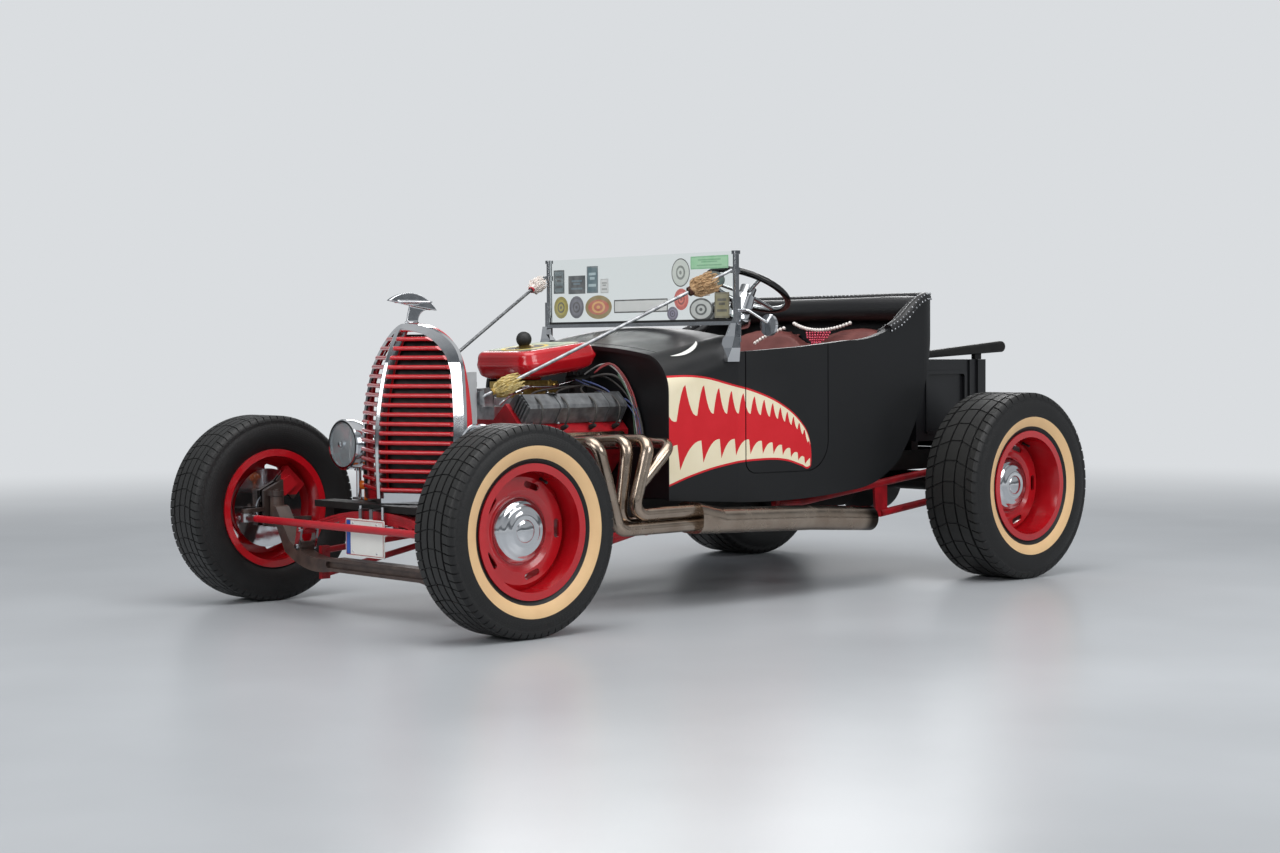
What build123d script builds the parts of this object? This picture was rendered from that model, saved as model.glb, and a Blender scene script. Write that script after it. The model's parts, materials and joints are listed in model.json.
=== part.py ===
"""Open street roadster with a short cargo bed, V8 and dropped front axle.

Millimetres. X is the car's left, Y runs rearward from the front axle, Z is up
from the floor. Finished pieces are shifted so the origin is under the middle.
"""
from build123d import *
import math
import os

os.makedirs("parts", exist_ok=True)

# Stance
wheelbase = 2417
front_tyre_radius = 326
front_tyre_width = 193
front_wheel_x = 708.5
rear_tyre_radius = 352.6
rear_tyre_width = 251
rear_wheel_x = 709.2
tail_station = 2780
middle_station = (tail_station - front_tyre_radius) / 2

# Clearances
seat_gap = 0.3
running_gap = 0.5
pivot_gap = 1.5
door_gap = 5

# Wheels: radii about the hub and offsets outboard of the wheel's centre plane
rim_flange_radius = 208
rim_seat_radius = 191
rim_wall = 7
flange_thick = 6
front_rim_half = 76
rear_rim_half = 104
front_disc_offset = 12
rear_disc_offset = 6
disc_wall = 8
slot_circle = 142
slot_long = 60
slot_wide = 20
slot_count = 5
cap_radius = 102
cap_height = 33
button_radius = 35
rotor_radius = 138
rotor_thick = 10
rotor_offset = -32
hub_radius = 50
neck_radius = 29
spindle_radius = 18

# Steering
kingpin_x = 620
kingpin_radius = 11
boss_radius = 24
boss_low = 282
boss_high = 368
ear_thick = 18
arm_reach = 125
arm_half = 12
arm_thick = 14
tie_rod_z = 300
drag_link_z = 262
link_radius = 12.5
eye_radius = 19
eye_half = 15
pin_radius = 7
pitman_x = 215
pitman_y = 115
wheel_ring_radius = 153
wheel_ring_tube = 12
steer_x = 270
steer_y = 1457
steer_z = 1093
steer_tilt = 28
column_radius = 19

# Frame and front end
rail_x = 330
rail_half = 25
rail_low = 285
rail_high = 360
rail_front = 26
rail_rear = 2650
kick_start = 1880
kick_end = 2130
kick_rise = 118
axle_depth = 56
axle_low_z = 132
perch_x = 444
perch_z = 206
shackle_pin = 7.5

# Grille: front face runs straight back from the centre line on both sides
grille_slope = 0.4625
grille_bottom = 374
grille_back = 168
trim_width = 34
bar_pitch = 31
bar_thick = 14
bar_deep = 36
bar_proud = 13
strip_proud = 15
strip_half = 10
bar_count = 18

# Body
wall = 30
cowl_front = 840
cowl_rear = 1175
cowl_skin = 14
body_back = 2206
floor_z = 362
floor_thick = 12
tunnel_half = 135
tunnel_top = 470

# Bed
bed_half = 410
bed_front = 2238
bed_rear = 2657
bed_bottom = 515
bed_top = 830
bed_wall = 22
rail_wide = 36

# Upright glass in front of the seats
screen_half = 503
screen_y = 1160
screen_base = 960
screen_channel = 20
screen_top = 1218
brace_z = 1150

wheel_table = [
    # name, side, station, wheel x, tyre radius, tyre width, rim half, disc offset
    ("front_left", 1, 0, front_wheel_x, front_tyre_radius, front_tyre_width,
     front_rim_half, front_disc_offset),
    ("front_right", -1, 0, front_wheel_x, front_tyre_radius, front_tyre_width,
     front_rim_half, front_disc_offset),
    ("rear_left", 1, wheelbase, rear_wheel_x, rear_tyre_radius, rear_tyre_width,
     rear_rim_half, rear_disc_offset),
    ("rear_right", -1, wheelbase, rear_wheel_x, rear_tyre_radius, rear_tyre_width,
     rear_rim_half, rear_disc_offset),
]

finished = []


def keep(label, builder):
    """Shift a finished piece to the shared origin and keep it under its name."""
    piece = Pos(0, -middle_station, 0) * builder.part
    piece.label = label
    finished.append(piece)


def bent_bar(corners, bend, radius):
    """Round bar through corner points, every corner bent to one radius."""
    points = [Vector(*corner) for corner in corners]
    edges = []
    start = points[0]
    for before, corner, after in zip(points, points[1:], points[2:]):
        toward = (corner - before).normalized()
        away = (after - corner).normalized()
        turn = math.radians(toward.get_angle(away))
        reach = bend * math.tan(turn / 2)
        first = corner - toward * reach
        last = corner + away * reach
        inward = (away - toward).normalized()
        middle = corner + inward * (bend / math.cos(turn / 2) - bend)
        edges.append(Edge.make_line(start, first))
        edges.append(Edge.make_three_point_arc(first, middle, last))
        start = last
    edges.append(Edge.make_line(start, points[-1]))
    ring = Wire.make_circle(radius, Plane(origin=points[0], z_dir=points[1] - points[0]))
    return Solid.sweep(Face(ring), Wire(edges))


def outline(steps):
    """Edges through a list of points; a step of two points is an arc."""
    edges = []
    here = steps[0]
    for step in steps[1:]:
        if isinstance(step[0], tuple):
            edges.append(Edge.make_three_point_arc(here, *step))
            here = step[1]
        else:
            edges.append(Edge.make_line(here, step))
            here = step
    return edges


def mirrored(corners, side):
    """Corner points with their x turned to one side of the car."""
    return [(side * x, y, z) for x, y, z in corners]


# Tyres, wheels and hubs
for name, side, station, wheel_x, radius, width, rim_half, disc_offset in wheel_table:
    centre = (side * wheel_x, station, radius)
    spin = Axis(centre, (1, 0, 0))
    section = Plane(origin=centre, x_dir=(side, 0, 0), z_dir=(0, -side, 0))
    face = Plane(origin=centre, x_dir=(0, 1, 0), z_dir=(side, 0, 0))
    bead = rim_half - seat_gap
    bore = rim_seat_radius + seat_gap
    half = width / 2
    tread_half = half - 18
    with BuildPart() as tyre:
        with BuildSketch(section):
            with BuildLine():
                Polyline((-bead, rim_flange_radius + 2), (-bead, bore), (bead, bore),
                         (bead, rim_flange_radius + 2))
                for turn in (1, -1):
                    ThreePointArc((turn * bead, rim_flange_radius + 2),
                                  (turn * (half - 1.5), rim_flange_radius + 48),
                                  (turn * (half - 6), radius - 26))
                    ThreePointArc((turn * (half - 6), radius - 26),
                                  (turn * (half - 10), radius - 6),
                                  (turn * tread_half, radius))
                Line((tread_half, radius), (-tread_half, radius))
            make_face()
        revolve(axis=spin)
    keep("tyre_" + name, tyre)

    inner = rim_seat_radius - rim_wall
    crown = disc_offset + 8
    with BuildPart() as rim:
        with BuildSketch(section):
            with Locations((0, (rim_seat_radius + inner) / 2)):
                Rectangle(2 * (rim_half + flange_thick), rim_wall)
            for turn in (1, -1):
                with Locations((turn * (rim_half + flange_thick / 2),
                                (rim_flange_radius + inner) / 2)):
                    Rectangle(flange_thick, rim_flange_radius - inner)
        revolve(axis=spin)
        with BuildSketch(section):
            Polygon((disc_offset - 10, inner + 3), (crown, 165), (crown, 125),
                    (disc_offset, 110), (disc_offset, neck_radius + running_gap),
                    (disc_offset - disc_wall, neck_radius + running_gap),
                    (disc_offset - disc_wall, 112), (crown - disc_wall, 127),
                    (crown - disc_wall, 163), (disc_offset - 22, inner + 3),
                    align=None)
        revolve(axis=spin)
        with BuildSketch(face):
            with PolarLocations(slot_circle, slot_count):
                SlotOverall(slot_long, slot_wide, rotation=90)
        extrude(amount=crown + 20, both=True, mode=Mode.SUBTRACT)
    keep("rim_" + name, rim)

    cap_base = disc_offset + seat_gap
    hub_out = disc_offset - disc_wall - seat_gap
    hub_in = rotor_offset - 4
    with BuildPart() as hub:
        with BuildSketch(section):
            with BuildLine():
                Polyline((hub_in, 0), (hub_in, hub_radius), (rotor_offset, hub_radius),
                         (rotor_offset, rotor_radius),
                         (rotor_offset + rotor_thick, rotor_radius),
                         (rotor_offset + rotor_thick, hub_radius),
                         (hub_out, hub_radius), (hub_out, neck_radius),
                         (cap_base, neck_radius), (cap_base, cap_radius),
                         (cap_base + 5, cap_radius))
                ThreePointArc((cap_base + 5, cap_radius),
                              (cap_base + cap_height * 0.72, cap_radius * 0.7),
                              (cap_base + cap_height - 3, button_radius))
                Polyline((cap_base + cap_height - 3, button_radius),
                         (cap_base + cap_height, button_radius - 4),
                         (cap_base + cap_height, 0), (hub_in, 0))
            make_face()
        revolve(axis=spin)
        with BuildSketch(face.offset(hub_in - 1)):
            Circle(spindle_radius + running_gap)
        extrude(amount=hub_out - hub_in - 2, mode=Mode.SUBTRACT)
    keep("hub_" + name, hub)

# Steering knuckles with spindle, caliper and the arms to the rods
rod_table = [
    # name, side, rear arm
    ("left", 1, False),
    ("right", -1, True),
]
ear_low = boss_low - pivot_gap - ear_thick
ear_high = boss_high + pivot_gap
upright_in = boss_radius + 5
upright_thick = 12
caliper_in = front_wheel_x + rotor_offset - 12
caliper_out = front_wheel_x + rotor_offset + rotor_thick + 12
for name, side, rear_arm in rod_table:
    pivot_x = side * kingpin_x
    with BuildPart() as knuckle:
        for low in (ear_low, ear_high):
            with BuildSketch(Plane.XY.offset(low)):
                with Locations((pivot_x, 0)):
                    Circle(boss_radius)
                with Locations((side * (kingpin_x + (upright_in + upright_thick) / 2), 0)):
                    Rectangle(upright_in + upright_thick, 2 * boss_radius)
            extrude(amount=ear_thick)
        with BuildSketch(Plane.XY.offset(ear_low)):
            with Locations((side * (kingpin_x + upright_in + upright_thick / 2), 0)):
                Rectangle(upright_thick, 2 * boss_radius + 20)
        extrude(amount=ear_high + ear_thick - ear_low)
        with BuildSketch(Plane.XY.offset(ear_low)):
            with Locations((pivot_x, 0)):
                Circle(kingpin_radius)
        extrude(amount=ear_high - ear_low + ear_thick + 6)
        with BuildSketch(Plane.YZ.offset(side * (kingpin_x + upright_in + 4))):
            with Locations((0, front_tyre_radius)):
                Circle(spindle_radius)
        extrude(amount=side * (front_wheel_x - kingpin_x - upright_in - 12))
        # Caliper straddling the rotor behind and above the axle
        with BuildSketch(Plane.YZ.offset(side * caliper_in)):
            with Locations(Location((86, front_tyre_radius + 86), 45)):
                Rectangle(70, 96)
        extrude(amount=side * (caliper_out - caliper_in))
        with BuildSketch(Plane.YZ.offset(side * (front_wheel_x + rotor_offset - 5))):
            with Locations((0, front_tyre_radius)):
                Circle(rotor_radius + 5)
                Circle(hub_radius + 8, mode=Mode.SUBTRACT)
        extrude(amount=side * (rotor_thick + 10), mode=Mode.SUBTRACT)
        with BuildSketch(Plane.YZ.offset(side * (kingpin_x + upright_in))):
            Polygon((-30, front_tyre_radius + 20), (30, front_tyre_radius + 20),
                    (106, front_tyre_radius + 82), (76, front_tyre_radius + 112),
                    (-30, front_tyre_radius + 62), align=None)
        extrude(amount=side * (caliper_in - kingpin_x - upright_in + 4))
        # Forward arm carries the tie rod
        tie_arm_low = tie_rod_z + eye_half + 1
        with BuildSketch(Plane.XY.offset(tie_arm_low)):
            with Locations((pivot_x, -arm_reach)):
                Circle(eye_radius - 3)
            Polygon((side * (kingpin_x - arm_half), -arm_reach),
                    (side * (kingpin_x + arm_half), -arm_reach),
                    (pivot_x + side * 41, -30), (pivot_x + side * 29, -30), align=None)
        extrude(amount=arm_thick)
        with BuildSketch(Plane.XY.offset(tie_arm_low)):
            with Locations((side * (kingpin_x + 35), -26)):
                Rectangle(12, 20)
        extrude(amount=arm_thick)
        with BuildSketch(Plane.XY.offset(tie_rod_z - eye_half - 8)):
            with Locations((pivot_x, -arm_reach)):
                Circle(pin_radius)
        extrude(amount=2 * eye_half + 8 + arm_thick)
        if rear_arm:
            drag_arm_low = drag_link_z + eye_half + 1
            with BuildSketch(Plane.XY.offset(drag_arm_low)):
                with Locations((pivot_x, arm_reach)):
                    Circle(eye_radius - 3)
                Polygon((side * (kingpin_x - arm_half), arm_reach),
                        (side * (kingpin_x + arm_half), arm_reach),
                        (pivot_x + side * 41, 30), (pivot_x + side * 29, 30), align=None)
                with Locations((side * (kingpin_x + 35), 26)):
                    Rectangle(12, 20)
            extrude(amount=arm_thick)
            with BuildSketch(Plane.XY.offset(drag_link_z - eye_half - 8)):
                with Locations((pivot_x, arm_reach)):
                    Circle(pin_radius)
            extrude(amount=2 * eye_half + 8 + arm_thick)
    keep("knuckle_" + name, knuckle)

# Tie rod across the front and drag link to the steering box
link_table = [
    # name, height, first eye, second eye
    ("tie_rod", tie_rod_z, (kingpin_x, -arm_reach), (-kingpin_x, -arm_reach)),
    ("drag_link", drag_link_z, (pitman_x, pitman_y + arm_reach), (-kingpin_x, arm_reach)),
]
for name, height, first, second in link_table:
    with BuildPart() as link:
        add(bent_bar([(*first, height), (*second, height)], 1, link_radius))
        with BuildSketch(Plane.XY.offset(height - eye_half)):
            with Locations(first, second):
                Circle(eye_radius)
        extrude(amount=2 * eye_half)
        with BuildSketch(Plane.XY.offset(height - eye_half)):
            with Locations(first, second):
                Circle(pin_radius + running_gap)
        extrude(amount=2 * eye_half, mode=Mode.SUBTRACT)
    keep(name, link)


def across(y):
    """Plane facing the front at one station; extruding from it goes forward."""
    return Plane.XZ.offset(-y)


# Frame rails with the rise over the rear axle, and crossmembers
with BuildPart() as frame:
    for side in (1, -1):
        with BuildSketch(Plane.YZ.offset(side * rail_x - rail_half)):
            Polygon((rail_front, rail_low), (kick_start, rail_low),
                    (kick_end, rail_low + kick_rise), (rail_rear, rail_low + kick_rise),
                    (rail_rear, rail_high + kick_rise),
                    (kick_end - 12, rail_high + kick_rise),
                    (kick_start - 12, rail_high), (rail_front, rail_high), align=None)
        extrude(amount=2 * rail_half)
    with BuildSketch(Plane.XY.offset(rail_high - 12)):
        with Locations((0, 22)):
            Rectangle(2 * (rail_x + rail_half), 84)
    extrude(amount=22)
    with BuildSketch(Plane.XY.offset(rail_high - 14)):
        with Locations((62, 33), (-62, 33)):
            Circle(8)
    extrude(amount=26, mode=Mode.SUBTRACT)
    with BuildSketch(across(1590)):
        Polygon((-rail_x, 345), (-rail_x, 300), (-150, 300), (-120, 254), (120, 254),
                (150, 300), (rail_x, 300), (rail_x, 345), (138, 345), (106, 272),
                (-106, 272), (-138, 345), align=None)
    extrude(amount=60)
    for y, low, high, deep in ((2200, rail_low + kick_rise, rail_high + kick_rise, 50),
                               (2540, rail_low + kick_rise, rail_high + kick_rise, 50)):
        with BuildSketch(Plane.XY.offset(low)):
            with Locations((0, y)):
                Rectangle(2 * rail_x, deep)
        extrude(amount=high - low)
    for side in (1, -1):
        for low in (287, 345):
            with BuildSketch(Plane.XY.offset(low)):
                with Locations((side * (rail_x + 72), 1448)):
                    Rectangle(110, 56)
            extrude(amount=8)
keep("frame", frame)

# Dropped front axle: beam drawn in front view, with upright bosses
with BuildPart() as front_axle:
    with BuildSketch(across(axle_depth / 2)):
        with BuildLine():
            Line((-250, axle_low_z), (250, axle_low_z))
            Line((-250, axle_low_z + 44), (250, axle_low_z + 44))
            for side in (1, -1):
                ThreePointArc((side * 250, axle_low_z), (side * 440, axle_low_z + 10),
                              (side * 530, axle_low_z + 50))
                Polyline((side * 530, axle_low_z + 50), (side * 604, boss_low + 20),
                         (side * 604, boss_high - 30), (side * 586, boss_high - 34),
                         (side * 500, axle_low_z + 88))
                ThreePointArc((side * 500, axle_low_z + 88), (side * 420, axle_low_z + 54),
                              (side * 250, axle_low_z + 44))
        make_face()
    extrude(amount=axle_depth)
    for back_y in (14 - axle_depth / 2, axle_depth / 2):
        with BuildSketch(across(back_y)):
            with Locations((0, axle_low_z + 22)):
                SlotOverall(560, 22)
        extrude(amount=14, mode=Mode.SUBTRACT)
    for side in (1, -1):
        # Perch for the spring shackle
        with BuildSketch(across(axle_depth / 2)):
            with Locations((side * perch_x, perch_z)):
                Circle(16)
            with Locations((side * perch_x, perch_z - 14)):
                Rectangle(24, 24)
        extrude(amount=axle_depth)
        with BuildSketch(across(axle_depth / 2)):
            with Locations((side * perch_x, perch_z)):
                Circle(shackle_pin + running_gap)
        extrude(amount=axle_depth, mode=Mode.SUBTRACT)
        with BuildSketch(Plane.XY.offset(boss_low)):
            with Locations((side * kingpin_x, 0)):
                Circle(boss_radius)
        extrude(amount=boss_high - boss_low)
        with BuildSketch(Plane.XY.offset(boss_low)):
            with Locations((side * kingpin_x, 0)):
                Circle(kingpin_radius + running_gap)
        extrude(amount=boss_high - boss_low, mode=Mode.SUBTRACT)
keep("front_axle", front_axle)

# Transverse leaf spring: leaves of falling length, plus clamps and shackles
leaf_table = [
    # half length, drop at the tip
    (428, 79),
    (350, 55),
    (275, 35),
    (205, 20),
    (130, 8),
]
leaf_thick = 8
spring_top = rail_high - 12 - seat_gap
with BuildPart() as front_spring:
    for number, (reach, drop) in enumerate(leaf_table):
        low = spring_top - leaf_thick * (number + 1)
        with BuildSketch(across(22)):
            with BuildLine():
                ThreePointArc((-reach, low - drop), (0, low), (reach, low - drop))
                ThreePointArc((-reach, low - drop + leaf_thick), (0, low + leaf_thick),
                              (reach, low - drop + leaf_thick))
                for side in (1, -1):
                    Line((side * reach, low - drop), (side * reach, low - drop + leaf_thick))
            make_face()
        extrude(amount=44)
    eye_z = spring_top - leaf_thick / 2 - leaf_table[0][1]
    for side in (1, -1):
        with BuildSketch(across(22)):
            with Locations((side * leaf_table[0][0], eye_z)):
                Circle(16)
        extrude(amount=44)
        with BuildSketch(across(22)):
            with Locations((side * leaf_table[0][0], eye_z)):
                Circle(shackle_pin + running_gap)
        extrude(amount=44, mode=Mode.SUBTRACT)
keep("front_spring", front_spring)

with BuildPart() as spring_hardware:
    for side in (1, -1):
        # Shackle plates down to the axle perch
        for y in (37, -29):
            with BuildSketch(across(y)):
                with Locations(Location((side * (leaf_table[0][0] + 8), eye_z - 29),
                                        90 + side * 15)):
                    SlotOverall(88, 26)
            extrude(amount=8)
        for x, z in ((leaf_table[0][0], eye_z), (perch_x, perch_z)):
            with BuildSketch(across(42)):
                with Locations((side * x, z)):
                    Circle(shackle_pin)
            extrude(amount=84)
        # Clamp bolts over the middle of the spring
        with BuildSketch(Plane.XY.offset(spring_top - 56)):
            with Locations((side * 62, -33), (side * 62, 33)):
                Circle(7)
        extrude(amount=74)
        with BuildSketch(Plane.XY.offset(spring_top - 56)):
            with Locations((side * 62, 0)):
                Rectangle(40, 74)
        extrude(amount=10)
keep("spring_hardware", spring_hardware)

# Hairpin rods that hold the front axle square
with BuildPart() as radius_rods:
    for side in (1, -1):
        for low in (190, 108):
            add(bent_bar(mirrored([(395, 48, low), (374, 830, 256)], side), 1, 11))
        with BuildSketch(Plane.YZ.offset(side * 395 - 9)):
            Polygon((axle_depth / 2 + seat_gap, 92), (62, 92), (62, 206),
                    (axle_depth / 2 + seat_gap, 206), align=None)
        extrude(amount=18)
        with BuildSketch(Plane.YZ.offset(side * 374 - 14)):
            with Locations((835, 262)):
                Circle(24)
        extrude(amount=28)
keep("radius_rods", radius_rods)

# Grille front, drawn as a profile on the centre line and swept out both ways
chin_z = 505
brow_z = 837
# centre station, centre height, radius
nose_lower = (1065.1, 538.7, 1067.6)
nose_upper = (1087.3, 439.6, 1120.2)


def nose_station(z):
    """How far back the centre line of the grille lies at one height."""
    if z < chin_z:
        return (chin_z - z) * 0.046 - 2
    centre_y, centre_z, radius = nose_lower if z < brow_z else nose_upper
    return centre_y - math.sqrt(radius ** 2 - (z - centre_z) ** 2)


with BuildPart() as nose_core:
    for side in (1, -1):
        with BuildSketch(Plane.YZ):
            with BuildLine():
                Polyline((grille_back + 200, grille_bottom),
                         (nose_station(grille_bottom), grille_bottom),
                         (nose_station(chin_z), chin_z))
                ThreePointArc((nose_station(chin_z), chin_z), (nose_station(680), 680),
                              (nose_station(brow_z), brow_z))
                ThreePointArc((nose_station(brow_z), brow_z), (nose_station(900), 900),
                              (nose_station(990), 990))
                Polyline((nose_station(990), 990), (grille_back + 200, 990),
                         (grille_back + 200, grille_bottom))
            make_face()
        extrude(amount=340, dir=(side, grille_slope, 0))


def arch_outline(inset):
    """Upright arch seen from the front, drawn inward by one inset."""
    foot = 262 - inset
    brow = 252 - inset
    temple = (227 - inset * 0.87, 859 - inset * 0.5)
    shoulder = (183 - inset * 0.75, 906 - inset * 0.62)
    return outline([(-foot, grille_bottom + inset), (foot, grille_bottom + inset),
                    ((283 - inset, 600), (brow, 800)), (temple, shoulder),
                    ((0, 966 - inset * 0.6), (-shoulder[0], shoulder[1])),
                    ((-temple[0], temple[1]), (-brow, 800)),
                    ((inset - 283, 600), (-foot, grille_bottom + inset))])


# Bright arched band laid on the front face, and the proud strip up its middle
trim_depth = 14
with BuildPart() as centre_strip:
    with BuildSketch(across(260)):
        with Locations((0, 670)):
            Rectangle(2 * strip_half, 560)
    extrude(amount=320)
    add(Pos(0, -strip_proud, 0) * nose_core.part, mode=Mode.INTERSECT)
    add(Pos(0, trim_depth, 0) * nose_core.part, mode=Mode.SUBTRACT)

with BuildPart() as strip_room:
    with BuildSketch(across(260)):
        with Locations((0, 670)):
            Rectangle(2 * (strip_half + seat_gap), 600)
    extrude(amount=320)
    add(Pos(0, trim_depth + seat_gap, 0) * nose_core.part, mode=Mode.SUBTRACT)

with BuildPart() as grille_trim:
    with BuildSketch(across(260)):
        with BuildLine():
            add(arch_outline(0))
        make_face()
    extrude(amount=300)
    with BuildSketch(across(260)):
        with BuildLine():
            add(arch_outline(trim_width))
        make_face()
    extrude(amount=300, mode=Mode.SUBTRACT)
    add(nose_core.part, mode=Mode.INTERSECT)
    add(Pos(0, trim_depth, 0) * nose_core.part, mode=Mode.SUBTRACT)
    add(centre_strip.part)
keep("grille_trim", grille_trim)

with BuildPart() as grille_shell:
    with BuildSketch(across(grille_back)):
        with BuildLine():
            add(arch_outline(0))
        make_face()
    extrude(amount=300)
    with BuildSketch(across(grille_back)):
        with BuildLine():
            add(arch_outline(10))
        make_face()
    extrude(amount=300, mode=Mode.SUBTRACT)
    add(Pos(0, trim_depth + seat_gap, 0) * nose_core.part, mode=Mode.INTERSECT)
keep("grille_shell", grille_shell)

# Round-nosed bars, held by a rim inside the arch and a backbone on the centre line
backbone_start = 15
with BuildPart() as grille_bars:
    for number in range(bar_count):
        z = grille_bottom + trim_width + bar_pitch * (number + 0.35)
        y = nose_station(z) - bar_proud
        half = bar_thick / 2
        for side in (1, -1):
            with BuildSketch(Plane.YZ):
                with BuildLine():
                    add(outline([(y + half, z - half), (y + bar_deep, z - half),
                                 (y + bar_deep, z + half), (y + half, z + half),
                                 ((y, z), (y + half, z - half))]))
                make_face()
            extrude(amount=300, dir=(side, grille_slope, 0))
    with BuildPart(mode=Mode.PRIVATE) as rim:
        with BuildSketch(across(260)):
            with BuildLine():
                add(arch_outline(trim_width + running_gap))
            make_face()
            with BuildLine():
                add(arch_outline(trim_width + 6))
            make_face(mode=Mode.SUBTRACT)
            with Locations((0, 670)):
                Rectangle(2 * strip_half, 560)
        extrude(amount=320)
        add(Pos(0, backbone_start, 0) * nose_core.part, mode=Mode.INTERSECT)
        add(Pos(0, bar_deep - bar_proud, 0) * nose_core.part, mode=Mode.SUBTRACT)
    add(rim.part)
    with BuildSketch(across(260)):
        with BuildLine():
            add(arch_outline(trim_width + running_gap))
        make_face()
    extrude(amount=320, mode=Mode.INTERSECT)
    add(strip_room.part, mode=Mode.SUBTRACT)
keep("grille_bars", grille_bars)

# Radiator on a bar between the rails, with cap and top hose
radiator_front = 182
radiator_back = 252
outlet_front = 404
with BuildPart() as radiator:
    with BuildSketch(Plane.XY.offset(480)):
        with Locations((0, (radiator_front + radiator_back) / 2)):
            Rectangle(2 * 198, radiator_back - radiator_front)
    extrude(amount=325)
    with BuildSketch(Plane.XY.offset(rail_high + seat_gap)):
        with Locations((0, 217)):
            Rectangle(2 * 350, 44)
    extrude(amount=12)
    with BuildSketch(Plane.XY.offset(rail_high + 6)):
        with Locations((150, 217), (-150, 217)):
            Rectangle(40, 40)
    extrude(amount=120)
    with BuildSketch(Plane.XY.offset(805)):
        with Locations((0, 217)):
            Circle(26)
    extrude(amount=22)
keep("radiator", radiator)

with BuildPart() as top_hose:
    add(bent_bar([(-90, radiator_back + seat_gap, 768), (-90, 302, 768), (0, 342, 718),
                  (0, outlet_front - seat_gap, 718)], 38, 22))
keep("top_hose", top_hose)

# Streamlined ornament: a pointed body on a fin, with two swept wings
ornament_base = 966 + seat_gap
with BuildPart() as ornament:
    with BuildSketch(Plane.XY.offset(ornament_base)):
        with Locations((0, 136)):
            Ellipse(12, 28)
    extrude(amount=7)
    with BuildSketch(Plane.YZ.offset(-4)):
        with BuildLine():
            add(outline([(114, ornament_base), (160, ornament_base),
                         ((168, 996), (214, 1010)), (132, 1040), ((120, 1002), (114, ornament_base))]))
        make_face()
    extrude(amount=8)
    # Spindle body, its nose low, with swept wings and a tail fin
    with BuildSketch(Plane.YZ):
        with BuildLine():
            add(outline([(38, 1042), ((96, 1066), (236, 1010)), ((150, 1022), (38, 1042))]))
        make_face()
    extrude(amount=8, both=True)
    with BuildSketch(Plane.XY.offset(1034)):
        with BuildLine():
            for turn in (1, -1):
                add(outline([(0, 66), ((turn * 34, 112), (turn * 52, 186)),
                             ((turn * 26, 164), (0, 158))]))
        make_face()
    extrude(amount=7)
keep("ornament", ornament)

# Bullet headlamps on posts, with lenses, and small lamps beside them
lamp_x = 372
lamp_y = 96
lamp_z = 553
with BuildPart() as headlamps:
    for side in (1, -1):
        lamp_axis = Axis((side * lamp_x, lamp_y, lamp_z), (0, 1, 0))
        with BuildSketch(Plane(origin=(side * lamp_x, lamp_y, lamp_z), x_dir=(0, 1, 0),
                               z_dir=(1, 0, 0))):
            with BuildLine():
                Polyline((26, 0), (26, 77), (12, 77), (12, 84), (17, 88), (32, 88))
                ThreePointArc((32, 88), (100, 70), (150, 20))
                Polyline((150, 20), (156, 0), (26, 0))
            make_face()
        revolve(axis=lamp_axis)
        # Stem down to a plate on the frame rail
        with BuildSketch(Plane.XY.offset(lamp_z - 92)):
            with Locations((side * lamp_x, lamp_y + 80)):
                Circle(15)
        with BuildSketch(Plane.XY.offset(lamp_z - 64)):
            with Locations((side * lamp_x, lamp_y + 80)):
                Circle(24)
        loft()
        with BuildSketch(Plane.XY.offset(rail_high + seat_gap + 6)):
            with Locations((side * lamp_x, lamp_y + 80)):
                Circle(9)
        extrude(amount=lamp_z - rail_high - 90)
        with BuildSketch(Plane.XY.offset(rail_high + seat_gap)):
            with Locations((side * 363, lamp_y + 80)):
                Rectangle(50, 32)
        extrude(amount=8)
keep("headlamps", headlamps)

with BuildPart() as headlamp_lenses:
    for side in (1, -1):
        with BuildSketch(Plane(origin=(side * lamp_x, lamp_y, lamp_z), x_dir=(0, 1, 0),
                               z_dir=(1, 0, 0))):
            with BuildLine():
                Polyline((0, 0), (26 - seat_gap, 0), (26 - seat_gap, 77 - seat_gap),
                         (17, 77 - seat_gap))
                TangentArc((0, 0), (17, 77 - seat_gap), tangent=(0, 1))
            make_face()
        revolve(axis=Axis((side * lamp_x, lamp_y, lamp_z), (0, 1, 0)))
keep("headlamp_lenses", headlamp_lenses)

turn_x = 322
turn_y = 146
turn_z = 414
with BuildPart() as turn_lamps:
    for side in (1, -1):
        with BuildSketch(Plane(origin=(side * turn_x, turn_y, turn_z), x_dir=(0, 1, 0),
                               z_dir=(1, 0, 0))):
            with BuildLine():
                Line((0, 0), (46, 0))
                Line((46, 0), (44, 6))
                ThreePointArc((44, 6), (30, 13), (7, 16))
                TangentArc((0, 0), (7, 16), tangent=(0, 1))
            make_face()
        revolve(axis=Axis((side * turn_x, turn_y, turn_z), (0, 1, 0)))
        with BuildSketch(Plane.XY.offset(rail_high + seat_gap)):
            with Locations((side * turn_x, turn_y + 24)):
                Circle(6)
        extrude(amount=turn_z - rail_high - 6)
keep("turn_lamps", turn_lamps)

with BuildPart() as number_plate:
    with BuildSketch(across(-60)):
        with Locations((0, 262)):
            RectangleRounded(216, 124, 8)
    extrude(amount=3)
    for x in (30, -30):
        with BuildSketch(Plane.YZ.offset(x - 8)):
            Polygon((-60, 290), (-57, 290), (-57, 352), (-20 - seat_gap, 352),
                    (-20 - seat_gap, 358), (-60, 358), align=None)
        extrude(amount=16)
keep("number_plate", number_plate)

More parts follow.
